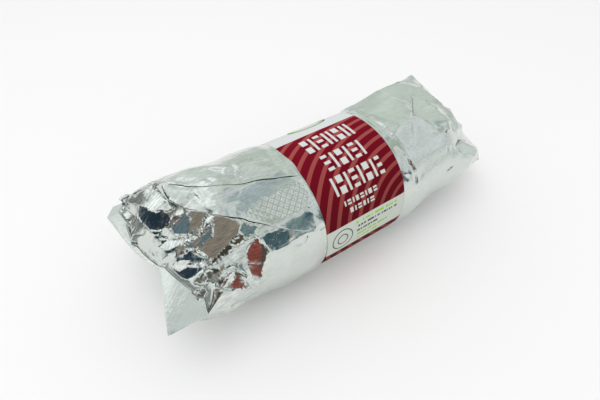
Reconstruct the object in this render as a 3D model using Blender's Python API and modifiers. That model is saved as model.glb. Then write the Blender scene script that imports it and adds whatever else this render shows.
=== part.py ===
"""A breakfast taco rolled in foil, with a printed paper band round its middle, lying on a table.

The pack lies along X, with +Z up. Its foil is rolled round the food and pressed flat at both ends.
The near end (-X) is a level crimp with its middle pushed in, which leaves two pointed ears. The far
end (+X) is a crimp that leans, with its front corner drawn out to a small tail. The pack is shut and
can't be seen into, so foil and food are one solid. The paper band is a second one. Metres throughout.
"""

import math

import bmesh
import bpy
from mathutils import Vector, noise

# Driving dimensions of the rolled pack
BODY_WIDTH = 0.0564
BODY_HEIGHT = 0.0530
FLAT_DEPTH = 0.0012  # how much of the round bottom the table presses flat
BODY_SQUARENESS = 2.15  # 2 is an ellipse, more is boxier

# The filling sits unevenly: (start x, end x, depth) of the full and lean stretches of the roll
UPPER_BACK_SWELLS = ((-0.082, -0.036, 0.0009), (-0.045, -0.019, 0.0004), (0.032, 0.090, 0.0030))
LOWER_FRONT_HOLLOWS = ((-0.062, -0.032, 0.0022), (0.028, 0.066, 0.0036))
SWELLS_FACE = math.radians(45)  # the swells face this way, up from the back, and the hollows the other way

# Near end: a crimp between two ears. Places across it run from -1 at the front ear to 1 at the back one.
NEAR_TIP_X = -0.0803
NEAR_CRIMP_Y = 0.0034
NEAR_CRIMP_Z = 0.0300
NEAR_CRIMP_WIDTH = 0.0672
NEAR_REACH = 0.0445  # length over which the roll comes down to the crimp
BACK_FLAP = 0.0045  # length of the crimp's flat flap at the back ear, at the notch and at the front ear
NOTCH_FLAP = 0.0010
FRONT_FLAP = 0.0135
UNDER_FLAP = 0.0040  # the front flap's length on the underside, where the roll swells below it
UNDER_FROM = 0.5  # share of the half height over which the flap shortens to that length
BACK_FLAP_FROM = -0.10  # places across between which the back flap grows to its length
BACK_FLAP_TO = 0.40
FRONT_FLAP_FROM = -0.08
FRONT_FLAP_TO = -0.75
NEAR_FULLNESS = 2.6  # 1 is a straight wedge, more is blunter
NEAR_FLARE = 2.6  # how suddenly the roll widens into the back ear
FRONT_FLARE = 1.9  # and into the front ear
FRONT_FLARE_FROM = 0.5
NEAR_SQUARENESS = 3.0
NOTCH_DEPTH = 0.0078
NOTCH_ACROSS = -0.25
EDGE_BULGE = 0.0018  # how far the edge between the notch and the back ear stands out
EDGE_BULGE_SKEW = 1.6  # 1 puts the bulge midway, more brings it nearer the notch
EAR_CUT = 0.0046  # how far the back ear's corner is cut back
EAR_CUT_FROM = 0.85
EAR_DROOP = 0.0016  # how far the back ear hangs below the crimp's level
EAR_DROOP_POWER = 7  # how close to the tip it hangs

# Far end: a leaning crimp with a tail. Places across it run from -1 at the tail to 1 at the back corner.
FAR_TIP_X = 0.0895
FAR_CRIMP_Y = 0.0055
FAR_CRIMP_Z = 0.0275
FAR_CRIMP_WIDTH = 0.0550
FAR_SLOPE = 0.0420
FAR_FULLNESS = 1.5
FAR_LEAN = math.radians(28)
FAR_SLANT = 0.0080  # how far the crimp's back corner stays behind its middle
FAR_SLANT_POWER = 0.7  # 1 is a straight edge, less is rounder
TAIL_DENT = 0.0010  # dip in the crimp's edge between its middle and the tail
TAIL_DENT_TO = -0.9
TAIL_CUT = 0.0032  # how far the tail's corner is cut back
TAIL_CUT_FROM = -0.86

CRIMP_THICKNESS = 0.0014

# Paper band
BAND_START_X = -0.0159
BAND_WIDTH = 0.0394
BAND_SINK = 0.0010  # how deep the taut band presses into the soft roll
BAND_MARGIN = 0.0026  # bare strip of pressed foil beside each edge of the band
BAND_SHOULDER = 0.0030  # length over which the foil rises beyond that strip
BAND_GAP = 0.0003
BAND_THICKNESS = 0.0004

# Creased relief of the foil
CREASE_MIDDLE = 0.0005
CREASE_ENDS = 0.0016
CREASE_SIZE = 0.0130
CREASE_SEED = Vector((3.7, 11.2, 5.9))
CREASE_REACH = 1.6  # how far from the crimps the creases are at their deepest
CREASE_SHARPNESS = 2.4
CREASE_FLAT = 3  # how suddenly they end at a crimp's flat flap

# Finishes: colour, metallic, roughness
FOIL_FINISH = ((0.66, 0.68, 0.68), 0.9, 0.3)
PAPER_FINISH = ((0.36, 0.03, 0.05), 0.0, 0.6)

# Mesh resolution
SIDES = 56
RINGS = 66
BAND_RINGS = 9
RING_CROWDING = 0.45  # how far the rings are drawn towards both crimps
POLE_MARGIN = 0.001  # a ball's pole lies at least this share of its rings outside its first and last ring

CENTRE_Z = BODY_HEIGHT / 2 - FLAT_DEPTH
BAND_END_X = BAND_START_X + BAND_WIDTH


def clear_scene():
    for obj in list(bpy.data.objects):
        bpy.data.objects.remove(obj, do_unlink=True)


def blend(a, b, t):
    return a + (b - a) * t


def clamp(t):
    return min(max(t, 0.0), 1.0)


def ease(t):
    """0 to 1 with level ends."""
    t = clamp(t)
    return t * t * (3 - 2 * t)


def near_end(x, side, up):
    """1 on the near crimp's flat flap, 0 where the roll is full.

    side runs from -1 at the front to 1 at the back, and up from -1 underneath to 1 on top.
    """
    front_flap = blend(FRONT_FLAP, UNDER_FLAP, ease(-up / UNDER_FROM))
    flap = NOTCH_FLAP
    flap += (BACK_FLAP - NOTCH_FLAP) * ease((side - BACK_FLAP_FROM) / (BACK_FLAP_TO - BACK_FLAP_FROM))
    flap += (front_flap - NOTCH_FLAP) * clamp((side - FRONT_FLAP_FROM) / (FRONT_FLAP_TO - FRONT_FLAP_FROM))
    return 1 - clamp((x - NEAR_TIP_X - flap) / (NEAR_REACH - flap))


def far_end(x):
    """1 at the far crimp, 0 where the roll is full."""
    return 1 - clamp((FAR_TIP_X - x) / FAR_SLOPE)


def beside_band(x):
    """1 under the paper band and its margins, falling to 0 over the shoulder at each side."""
    outside = max(BAND_START_X - x, x - BAND_END_X) - BAND_MARGIN
    return 1 - ease(outside / BAND_SHOULDER)


def section(x, side, up):
    """Half width, half height, centre y and z, lean and squareness of the roll at x."""
    near, far = near_end(x, side, up), far_end(x)
    sink = BAND_SINK * beside_band(x)
    flare = blend(NEAR_FLARE, FRONT_FLARE, ease(-side / FRONT_FLARE_FROM))
    half_width = blend(BODY_WIDTH / 2, NEAR_CRIMP_WIDTH / 2, near**flare)
    half_width = blend(half_width, FAR_CRIMP_WIDTH / 2, ease(far))
    fullness = (1 - near**NEAR_FULLNESS) * (1 - far**FAR_FULLNESS)
    half_height = blend(CRIMP_THICKNESS / 2, BODY_HEIGHT / 2, fullness)
    centre_y = NEAR_CRIMP_Y * near**NEAR_FLARE + FAR_CRIMP_Y * ease(far)
    centre_z = blend(CENTRE_Z, NEAR_CRIMP_Z, ease(near))
    centre_z = blend(centre_z, FAR_CRIMP_Z, ease(far))
    squareness = blend(BODY_SQUARENESS, NEAR_SQUARENESS, ease(near))
    return half_width - sink, half_height - sink, centre_y, centre_z, FAR_LEAN * ease(far), squareness


def hump(x, stretches):
    """Summed smooth humps, each rising from 0 to its depth and back over its stretch."""
    total = 0.0
    for start, end, depth in stretches:
        total += depth * math.sin(math.pi * clamp((x - start) / (end - start))) ** 2
    return total


def uneven(x, angle):
    """Swells of the upper back and hollows of the lower front."""
    facing = math.cos(angle - SWELLS_FACE)
    if facing > 0:
        return hump(x, UPPER_BACK_SWELLS) * facing**2
    return -hump(x, LOWER_FRONT_HOLLOWS) * facing**2


def notch_share(across):
    """1 at the near crimp's notch, 0 at both ears."""
    reach = 1 + NOTCH_ACROSS if across < NOTCH_ACROSS else 1 - NOTCH_ACROSS
    return clamp(1 - abs(across - NOTCH_ACROSS) / reach)


def near_edge(across):
    """How far the near crimp's edge lies behind its tip."""
    share = notch_share(across)
    bulge = EDGE_BULGE * math.sin(math.pi * share**EDGE_BULGE_SKEW) if across > NOTCH_ACROSS else 0.0
    ear = EAR_CUT * clamp((across - EAR_CUT_FROM) / (1 - EAR_CUT_FROM))
    return NOTCH_DEPTH * share - bulge + ear


def far_edge(across):
    """How far the far crimp's edge lies behind its tip."""
    back = FAR_SLANT * max(across, 0.0) ** FAR_SLANT_POWER
    dent = TAIL_DENT * math.sin(math.pi * clamp(across / TAIL_DENT_TO)) ** 2
    tail = TAIL_CUT * clamp((across - TAIL_CUT_FROM) / (-1 - TAIL_CUT_FROM))
    return back + dent + tail


def crimp_shift(x, across, up):
    """How far the end outlines move along X; across runs from -1 (front) to 1 (back)."""
    return near_edge(across) * near_end(x, across, up) ** 2 - far_edge(across) * far_end(x) ** 2


def droop(x, across, up):
    """How far the near crimp's back half hangs down."""
    beyond_notch = clamp((across - NOTCH_ACROSS) / (1 - NOTCH_ACROSS))
    return EAR_DROOP * beyond_notch * near_end(x, across, up) ** EAR_DROOP_POWER


def creases(x, y, z):
    """Shallow folds of the foil: ridged noise, deeper towards the pinched ends."""
    pinch = max(near_end(x, 2 * y / BODY_WIDTH, 2 * z / BODY_HEIGHT), far_end(x))
    depth = blend(CREASE_MIDDLE, CREASE_ENDS, ease(pinch * CREASE_REACH))
    depth *= (1 - beside_band(x)) * (1 - pinch**CREASE_FLAT)
    place = Vector((x, y, z)) / CREASE_SIZE + CREASE_SEED
    return depth * (1 - CREASE_SHARPNESS * abs(noise.noise(place)))


def roll_point(x, angle, proud=0.0):
    """A point of the roll's skin; angle runs round X from the back (+Y) over the top."""
    c, s = math.cos(angle), math.sin(angle)
    half_width, half_height, centre_y, centre_z, lean, squareness = section(x, c, s)
    power = 2 / squareness
    across = math.copysign(abs(c) ** power, c)
    up = math.copysign(abs(s) ** power, s)
    out = Vector((across / half_width, up / half_height)).normalized()
    y = across * half_width
    z = up * half_height
    lift = proud + uneven(x, angle) + creases(x, y, z)
    y += out.x * lift
    z += out.y * lift
    floor = BAND_SINK * beside_band(x) - proud
    return Vector(
        (
            x + crimp_shift(x, across, up),
            centre_y + y * math.cos(lean) - z * math.sin(lean),
            max(centre_z + y * math.sin(lean) + z * math.cos(lean) - droop(x, across, up), floor),
        )
    )


def crimp_middle(x, across):
    """The point inside a crimp's rim from which its closing faces fan out."""
    half_width, _, centre_y, centre_z, lean, _ = section(x, across, 0.0)
    y = across * half_width
    return Vector(
        (
            x + crimp_shift(x, across, 0.0),
            centre_y + y * math.cos(lean),
            centre_z + y * math.sin(lean) - droop(x, across, 0.0),
        )
    )


def ring_x(share):
    """Even rings along the roll, drawn closer together towards both crimps."""
    crowded = (1 - math.cos(math.pi * share)) / 2
    return blend(NEAR_TIP_X, FAR_TIP_X, blend(share, crowded, RING_CROWDING))


def new_object(name, bm):
    bmesh.ops.recalc_face_normals(bm, faces=bm.faces)
    mesh = bpy.data.meshes.new(name)
    bm.to_mesh(mesh)
    bm.free()
    obj = bpy.data.objects.new(name, mesh)
    bpy.context.scene.collection.objects.link(obj)
    return obj


def make_foil_wrap():
    """The closed roll: a ball's rings spread along X and shaped to the sections."""
    bm = bmesh.new()
    bmesh.ops.create_uvsphere(bm, u_segments=SIDES, v_segments=RINGS, radius=1.0)
    for vertex in bm.verts:
        polar = math.acos(max(min(vertex.co.z, 1.0), -1.0)) / math.pi
        share = (polar * RINGS - 1) / (RINGS - 2)
        if share < -POLE_MARGIN:
            vertex.co = crimp_middle(NEAR_TIP_X, NOTCH_ACROSS)
        elif share > 1 + POLE_MARGIN:
            vertex.co = crimp_middle(FAR_TIP_X, 0.0)
        else:
            vertex.co = roll_point(ring_x(clamp(share)), math.atan2(vertex.co.y, vertex.co.x))
    return new_object("foil_wrap", bm)


def make_paper_band():
    """A taut strip of paper closed to a ring, just clear of the foil it presses in."""
    bm = bmesh.new()
    bmesh.ops.create_cone(bm, segments=SIDES, radius1=1.0, radius2=1.0, depth=1.0, cap_ends=False)
    lengthwise = [edge for edge in bm.edges if len(edge.link_faces) == 2]
    bmesh.ops.subdivide_edges(bm, edges=lengthwise, cuts=BAND_RINGS - 2, use_grid_fill=True)
    for vertex in bm.verts:
        x = BAND_START_X + BAND_WIDTH * (vertex.co.z + 0.5)
        vertex.co = roll_point(x, math.atan2(vertex.co.y, vertex.co.x), BAND_GAP)
    obj = new_object("paper_band", bm)
    paper = obj.modifiers.new("paper", "SOLIDIFY")
    paper.thickness = BAND_THICKNESS
    paper.offset = 1.0
    paper.use_even_offset = True
    return obj


def finish(obj, name, colour, metallic, roughness):
    material = bpy.data.materials.new(name)
    material.use_nodes = True
    shader = material.node_tree.nodes["Principled BSDF"]
    shader.inputs["Base Color"].default_value = (*colour, 1.0)
    shader.inputs["Metallic"].default_value = metallic
    shader.inputs["Roughness"].default_value = roughness
    obj.data.materials.append(material)


def stand_at_origin(objects):
    """Moves the meshes so that the whole stands on z = 0 with its box centred on X and Y."""
    bpy.context.view_layer.update()
    graph = bpy.context.evaluated_depsgraph_get()
    corners = [Vector(corner) for obj in objects for corner in obj.evaluated_get(graph).bound_box]
    low = Vector([min(corner[axis] for corner in corners) for axis in range(3)])
    high = Vector([max(corner[axis] for corner in corners) for axis in range(3)])
    shift = Vector((-(low.x + high.x) / 2, -(low.y + high.y) / 2, -low.z))
    for obj in objects:
        for vertex in obj.data.vertices:
            vertex.co += shift


def main():
    clear_scene()
    foil = make_foil_wrap()
    band = make_paper_band()
    finish(foil, "foil", *FOIL_FINISH)
    finish(band, "printed_paper", *PAPER_FINISH)
    stand_at_origin([foil, band])


main()
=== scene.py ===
# %% [markdown]
# # A breakfast taco shut in kitchen foil
# The real thing is a rolled taco inside one sheet of foil. Both ends of the foil are pinched flat,
# the loose edge of the sheet lies over the roll, and a printed paper band holds it all shut.
# This lesson dresses two plain solids, the foil and the band, so that they look like that pack.

# %% Load the plain solids
import math

import bpy
import numpy as np
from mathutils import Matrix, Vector, geometry, noise


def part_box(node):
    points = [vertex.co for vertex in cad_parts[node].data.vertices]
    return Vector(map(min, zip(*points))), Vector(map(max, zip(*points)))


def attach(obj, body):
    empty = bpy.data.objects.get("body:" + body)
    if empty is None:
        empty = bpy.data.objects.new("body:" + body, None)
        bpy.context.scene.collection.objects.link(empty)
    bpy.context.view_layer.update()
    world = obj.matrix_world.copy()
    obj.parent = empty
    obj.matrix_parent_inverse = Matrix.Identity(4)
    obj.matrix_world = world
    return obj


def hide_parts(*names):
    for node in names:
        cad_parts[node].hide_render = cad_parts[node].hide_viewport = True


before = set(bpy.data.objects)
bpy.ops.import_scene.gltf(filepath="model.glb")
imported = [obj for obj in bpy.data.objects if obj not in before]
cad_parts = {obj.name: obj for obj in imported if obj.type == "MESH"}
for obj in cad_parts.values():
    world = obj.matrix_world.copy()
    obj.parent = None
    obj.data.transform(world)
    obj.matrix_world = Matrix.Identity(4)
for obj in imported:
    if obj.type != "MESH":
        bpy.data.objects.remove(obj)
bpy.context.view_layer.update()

MM = 0.001

# %% [markdown]
# ## Small tools for arrays
# Foil needs tens of thousands of points, so all the shaping below works on whole numpy arrays at once.
# Five little functions come back all the time: a straight mix of two values, a limit to 0..1, a step
# with soft ends, a line of points read at any place, and the length that has run up along a path.

# %% Mix, limit, soft step, line and length
def blend(a, b, share):
    return a + (b - a) * share


def clamp(value):
    return np.clip(value, 0.0, 1.0)


def ease(value):
    value = clamp(value)
    return value * value * (3 - 2 * value)


def on_line(points, at):
    """Reads a line given by (place, value) pairs at any place."""
    places, values = zip(*points)
    return np.interp(at, places, values)


def run_up(steps):
    """The length run so far at each point, from the steps between the points."""
    return np.concatenate([[0.0], np.cumsum(steps)])


print("a soft step at 0, a quarter, a half and 1:", np.round(ease(np.array([0, 0.25, 0.5, 1])), 2))

# %% [markdown]
# ## The smooth roll
# Under all its creases the pack is a loft: a round section in the middle that turns into a flat crimp at
# each end. The sizes here are the ones the solid was made with, so the dressed roll lies exactly on it.
# A loft written as a formula is handier than a mesh that is sculpted: any point of the roll can be asked
# for by its place along X and its turn round the roll, from the back (0) over the top (90) to the front.

# %% Sizes of the roll
BODY_WIDTH = 56.4 * MM
BODY_HEIGHT = 53.0 * MM
FLAT_DEPTH = 1.2 * MM
BODY_SQUARENESS = 2.15
UPPER_BACK_SWELLS = (  # each from one x to another, and its depth
    (-82 * MM, -36 * MM, 0.9 * MM), (-45 * MM, -19 * MM, 0.4 * MM), (32 * MM, 90 * MM, 3.0 * MM),
)
LOWER_FRONT_HOLLOWS = ((-62 * MM, -32 * MM, 2.2 * MM), (28 * MM, 66 * MM, 3.6 * MM))
SWELLS_FACE = math.radians(45)  # the swells face this way, up from the back, and the hollows the other way
CENTRE_Z = BODY_HEIGHT / 2 - FLAT_DEPTH
FOIL_CRIMP = 0.4 * MM  # two layers of foil pressed together
print("the roll is", round(BODY_WIDTH / MM, 1), "mm wide, with its middle", round(CENTRE_Z / MM, 1), "mm up")

# %% Sizes of the near crimp, with its two ears
NEAR_TIP_X = -80.3 * MM
NEAR_CRIMP_Y = 3.4 * MM
NEAR_CRIMP_Z = 30.0 * MM
NEAR_CRIMP_WIDTH = 67.2 * MM
NEAR_REACH = 44.5 * MM
BACK_FLAP = 4.5 * MM
NOTCH_FLAP = 1.0 * MM
FRONT_FLAP = 13.5 * MM
UNDER_FLAP = 4.0 * MM
UNDER_FROM = 0.5
BACK_FLAP_FROM, BACK_FLAP_TO = -0.10, 0.40
FRONT_FLAP_FROM, FRONT_FLAP_TO = -0.08, -0.75
NEAR_FULLNESS = 2.6
NEAR_FLARE = 2.6
FRONT_FLARE = 1.9
FRONT_FLARE_FROM = 0.5
NEAR_SQUARENESS = 3.0
NOTCH_DEPTH = 7.8 * MM
NOTCH_ACROSS = -0.25
EDGE_BULGE = 1.8 * MM
EDGE_BULGE_SKEW = 1.6
EAR_CUT = 4.6 * MM
EAR_CUT_FROM = 0.85
EAR_DROOP = 1.6 * MM
EAR_DROOP_POWER = 7
print("the near crimp is", round(NEAR_CRIMP_WIDTH / BODY_WIDTH, 2), "times as wide as the roll")

# %% Sizes of the far crimp, which leans and ends in a tail
FAR_TIP_X = 89.5 * MM
FAR_CRIMP_Y = 5.5 * MM
FAR_CRIMP_Z = 27.5 * MM
FAR_CRIMP_WIDTH = 55.0 * MM
FAR_SLOPE = 42.0 * MM
FAR_FULLNESS = 1.5
FAR_LEAN = math.radians(28)
FAR_SLANT = 8.0 * MM
FAR_SLANT_POWER = 0.7
TAIL_DENT = 1.0 * MM
TAIL_DENT_TO = -0.9
TAIL_CUT = 3.2 * MM
TAIL_CUT_FROM = -0.86
print("from tip to tip:", round((FAR_TIP_X - NEAR_TIP_X) / MM, 1), "mm")

# %% Sizes of the band, and where the solids stand
BAND_START_X = -15.9 * MM
BAND_WIDTH = 39.4 * MM
BAND_END_X = BAND_START_X + BAND_WIDTH
BAND_SINK = 1.0 * MM
BAND_SHOULDER = 7.0 * MM  # the foil sinks in towards the band over this length
BAND_GAP = 0.3 * MM
band_low, band_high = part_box("paper_band")
STAND = Vector((band_low.x - BAND_START_X, (band_low.y + band_high.y) / 2, 0.0))
print("the solids stand moved by", [round(v / MM, 2) for v in STAND], "mm")

# %% How pinched the roll is at a place
def near_pinch(x, side, up):
    """1 on the near crimp's flat flap, 0 where the roll is full."""
    front_flap = blend(FRONT_FLAP, UNDER_FLAP, ease(-up / UNDER_FROM))
    to_back = ease((side - BACK_FLAP_FROM) / (BACK_FLAP_TO - BACK_FLAP_FROM))
    to_front = clamp((side - FRONT_FLAP_FROM) / (FRONT_FLAP_TO - FRONT_FLAP_FROM))
    flap = NOTCH_FLAP + (BACK_FLAP - NOTCH_FLAP) * to_back + (front_flap - NOTCH_FLAP) * to_front
    return 1 - clamp((x - NEAR_TIP_X - flap) / (NEAR_REACH - flap))


def far_pinch(x):
    """1 at the far crimp, 0 where the roll is full."""
    return 1 - clamp((FAR_TIP_X - x) / FAR_SLOPE)


def beside_band(x):
    """1 under the band, 0 beyond the shoulders."""
    outside = np.maximum(BAND_START_X - x, x - BAND_END_X)
    return 1 - ease(outside / BAND_SHOULDER)


full_from, full_to = NEAR_TIP_X + NEAR_REACH, FAR_TIP_X - FAR_SLOPE
print("not pinched from x", round(full_from / MM, 1), "to", round(full_to / MM, 1), "mm")


# %% The section at a place
def section(x, side, up):
    """Half width, half height, centre y and z, lean and squareness of the roll."""
    near, far = near_pinch(x, side, up), far_pinch(x)
    sink = BAND_SINK * beside_band(x)
    flare = blend(NEAR_FLARE, FRONT_FLARE, ease(-side / FRONT_FLARE_FROM))
    half_width = blend(BODY_WIDTH / 2, NEAR_CRIMP_WIDTH / 2, near**flare)
    half_width = blend(half_width, FAR_CRIMP_WIDTH / 2, ease(far))
    fullness = (1 - near**NEAR_FULLNESS) * (1 - far**FAR_FULLNESS)
    half_height = blend(FOIL_CRIMP / 2, BODY_HEIGHT / 2, fullness)
    centre_y = NEAR_CRIMP_Y * near**NEAR_FLARE + FAR_CRIMP_Y * ease(far)
    centre_z = blend(CENTRE_Z, NEAR_CRIMP_Z, ease(near))
    centre_z = blend(centre_z, FAR_CRIMP_Z, ease(far))
    squareness = blend(BODY_SQUARENESS, NEAR_SQUARENESS, ease(near))
    return half_width - sink, half_height - sink, centre_y, centre_z, FAR_LEAN * ease(far), squareness


print("under the band it is", np.round(2 * np.array(section(0.0, 1.0, 0.0)[:2]) / MM, 1), "mm wide and high")


# %% Swells, the ends' outlines and the drooping ear
def hump(x, stretches):
    """Smooth humps, each over its own stretch of the roll."""
    total = 0.0
    for start, end, depth in stretches:
        total = total + depth * np.sin(math.pi * clamp((x - start) / (end - start))) ** 2
    return total


def crimp_shift(x, across, up):
    """How far the ends' outlines move along X, from the front (-1) to the back (1)."""
    reach = np.where(across < NOTCH_ACROSS, 1 + NOTCH_ACROSS, 1 - NOTCH_ACROSS)
    notch = clamp(1 - np.abs(across - NOTCH_ACROSS) / reach)
    bulge = EDGE_BULGE * np.sin(math.pi * notch**EDGE_BULGE_SKEW) * (across > NOTCH_ACROSS)
    ear = EAR_CUT * clamp((across - EAR_CUT_FROM) / (1 - EAR_CUT_FROM))
    back = FAR_SLANT * np.maximum(across, 0.0) ** FAR_SLANT_POWER
    dent = TAIL_DENT * np.sin(math.pi * clamp(across / TAIL_DENT_TO)) ** 2
    tail = TAIL_CUT * clamp((across - TAIL_CUT_FROM) / (-1 - TAIL_CUT_FROM))
    near_edge, far_edge = NOTCH_DEPTH * notch - bulge + ear, back + dent + tail
    return near_edge * near_pinch(x, across, up) ** 2 - far_edge * far_pinch(x) ** 2


def droop(x, across, up):
    """How far the near crimp's back half hangs down."""
    beyond_notch = clamp((across - NOTCH_ACROSS) / (1 - NOTCH_ACROSS))
    return EAR_DROOP * beyond_notch * near_pinch(x, across, up) ** EAR_DROOP_POWER


notch_in = float(crimp_shift(NEAR_TIP_X, NOTCH_ACROSS, 0.0))
print("the notch goes in by", round(notch_in / MM, 1), "mm")


# %% Any point of the smooth roll
def smooth_roll(x, turn, proud=0.0):
    """Points of the roll's skin, an array of (..., 3). Turn is in radians."""
    x, turn = np.broadcast_arrays(np.asarray(x, float), np.asarray(turn, float))
    c, s = np.cos(turn), np.sin(turn)
    half_width, half_height, centre_y, centre_z, lean, squareness = section(x, c, s)
    across = np.copysign(np.abs(c) ** (2 / squareness), c)
    up = np.copysign(np.abs(s) ** (2 / squareness), s)
    out_y, out_z = across / half_width, up / half_height
    size = np.hypot(out_y, out_z)
    facing = np.cos(turn - SWELLS_FACE)
    swell = np.where(facing > 0, hump(x, UPPER_BACK_SWELLS), -hump(x, LOWER_FRONT_HOLLOWS)) * facing**2
    lift = proud + swell
    y = across * half_width + out_y / size * lift
    z = up * half_height + out_z / size * lift
    floor = BAND_SINK * beside_band(x) - proud
    place_x = x + crimp_shift(x, across, up)
    place_y = centre_y + y * np.cos(lean) - z * np.sin(lean)
    place_z = centre_z + y * np.sin(lean) + z * np.cos(lean) - droop(x, across, up)
    return np.stack([place_x, place_y, np.maximum(place_z, floor)], axis=-1) + np.array(STAND)


top_line = smooth_roll(np.linspace(NEAR_TIP_X, FAR_TIP_X, 5), math.pi / 2)
print("height along the top, mm:", np.round(top_line[:, 2] / MM, 1))

# %% [markdown]
# ## Camera
# The camera looks down on the printed side from close by with a wide lens, which is why the eared end
# looks so large. Its place was worked out from the round edges of the band.

# %% Place the camera
AIM = Vector((-14.284, -3.589, 25.3)) * MM
AZIMUTH = math.radians(-34.86)
ELEVATION = math.radians(44.53)
DISTANCE = 188.55 * MM
toward_camera = Vector((
    math.cos(ELEVATION) * math.sin(AZIMUTH),
    -math.cos(ELEVATION) * math.cos(AZIMUTH),
    math.sin(ELEVATION),
))
camera_data = bpy.data.cameras.new("camera")
camera_data.sensor_width = 36.0
camera_data.lens = 26.97
camera_data.clip_start = 0.005
camera = bpy.data.objects.new("camera", camera_data)
bpy.context.scene.collection.objects.link(camera)
camera.location = AIM + toward_camera * DISTANCE
camera.rotation_euler = (-toward_camera).to_track_quat("-Z", "Y").to_euler()
bpy.context.scene.camera = camera
print("camera at", [round(v / MM, 1) for v in camera.location])

# %% [markdown]
# ## An even net over the roll
# Creases only look sharp where the net of points is fine, and they only look alike from place to place
# where it is even. So the rings are spaced by the length of the skin and not by X, because the near end
# drops steeply, and the points of each ring are spaced by its own girth. Under the band a few rings do.

# %% Rings at even steps along the skin
RINGS_NEAR = 250
RINGS_UNDER_BAND = 8
RINGS_FAR = 146
SIDES = 360
HIDDEN = 3.0 * MM  # how far the fine net reaches in under the band
LOOKED_AT = np.radians(np.arange(0, 360, 30))  # the turns at which the skin's length is measured


def even_rings(start, end, count):
    fine = np.linspace(start, end, 600)
    skin = smooth_roll(fine[:, None], LOOKED_AT[None, :])
    length = run_up(np.linalg.norm(np.diff(skin, axis=0), axis=2).mean(axis=1))
    return np.interp(np.linspace(0, length[-1], count), length, fine)


near_rings = even_rings(NEAR_TIP_X, BAND_START_X + HIDDEN, RINGS_NEAR)
hidden_rings = even_rings(BAND_START_X + HIDDEN, BAND_END_X - HIDDEN, RINGS_UNDER_BAND)
far_rings = even_rings(BAND_END_X - HIDDEN, FAR_TIP_X, RINGS_FAR)
ring_x = np.concatenate([near_rings, hidden_rings[1:-1], far_rings])
print("rings:", len(ring_x), "from x", np.round(ring_x[[0, -1]] / MM, 1), "mm")

# %% Points at even steps round each ring
def even_turns(x):
    """Turns of SIDES points that share each half of the ring's girth evenly."""
    halves = []
    for start in (0.0, math.pi):
        fine = np.linspace(start, start + math.pi, 361)
        skin = smooth_roll(x, fine)
        length = run_up(np.linalg.norm(np.diff(skin[:, 1:], axis=0), axis=1))
        shares = np.linspace(0, length[-1], SIDES // 2 + 1)
        halves.append(np.interp(shares, length, fine)[:-1])
    return np.concatenate(halves)


net_turn = np.array([even_turns(x) for x in ring_x])
net_x = np.repeat(ring_x[:, None], SIDES, axis=1)
net = smooth_roll(net_x, net_turn)


def box_mm(points):
    """The lowest and the highest corner of a net."""
    return np.round([points.min((0, 1)) / MM, points.max((0, 1)) / MM], 1).tolist()


print("net:", net.shape, "box, mm:", box_mm(net))

# %% Flat map of the skin, in metres, for laying out creases
map_s = run_up(np.linalg.norm(np.diff(net, axis=0), axis=2).mean(axis=1))
GIRTH = 170.0 * MM
map_v = np.arange(SIDES) / SIDES * GIRTH
print("the skin's map is", round(map_s[-1] / MM, 1), "by", round(GIRTH / MM, 1), "mm")


def directions_out(points):
    """Unit directions that stand off the skin."""
    along = np.gradient(points, axis=0)
    around = (np.roll(points, -1, axis=1) - np.roll(points, 1, axis=1)) / 2
    out = np.cross(around, along)
    size = np.linalg.norm(out, axis=2, keepdims=True)
    return out / np.maximum(size, 1e-12)


net_out = directions_out(net)
print("the middle of the top faces", np.round(net_out[len(ring_x) // 2, SIDES // 4], 2))

# %% [markdown]
# ## What the foil mirrors
# Foil has hardly any colour of its own: it shows the room round it. The studio is pale all over, with
# a few darker corners, and those corners are what makes foil look like metal. Dark cards stood round the
# pack would do the same, but a zone of the sky is one line of numbers that is quickly moved. Each has the
# way it lies, the cosines at which it starts and is full, and its colour. A later one covers an earlier.

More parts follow.
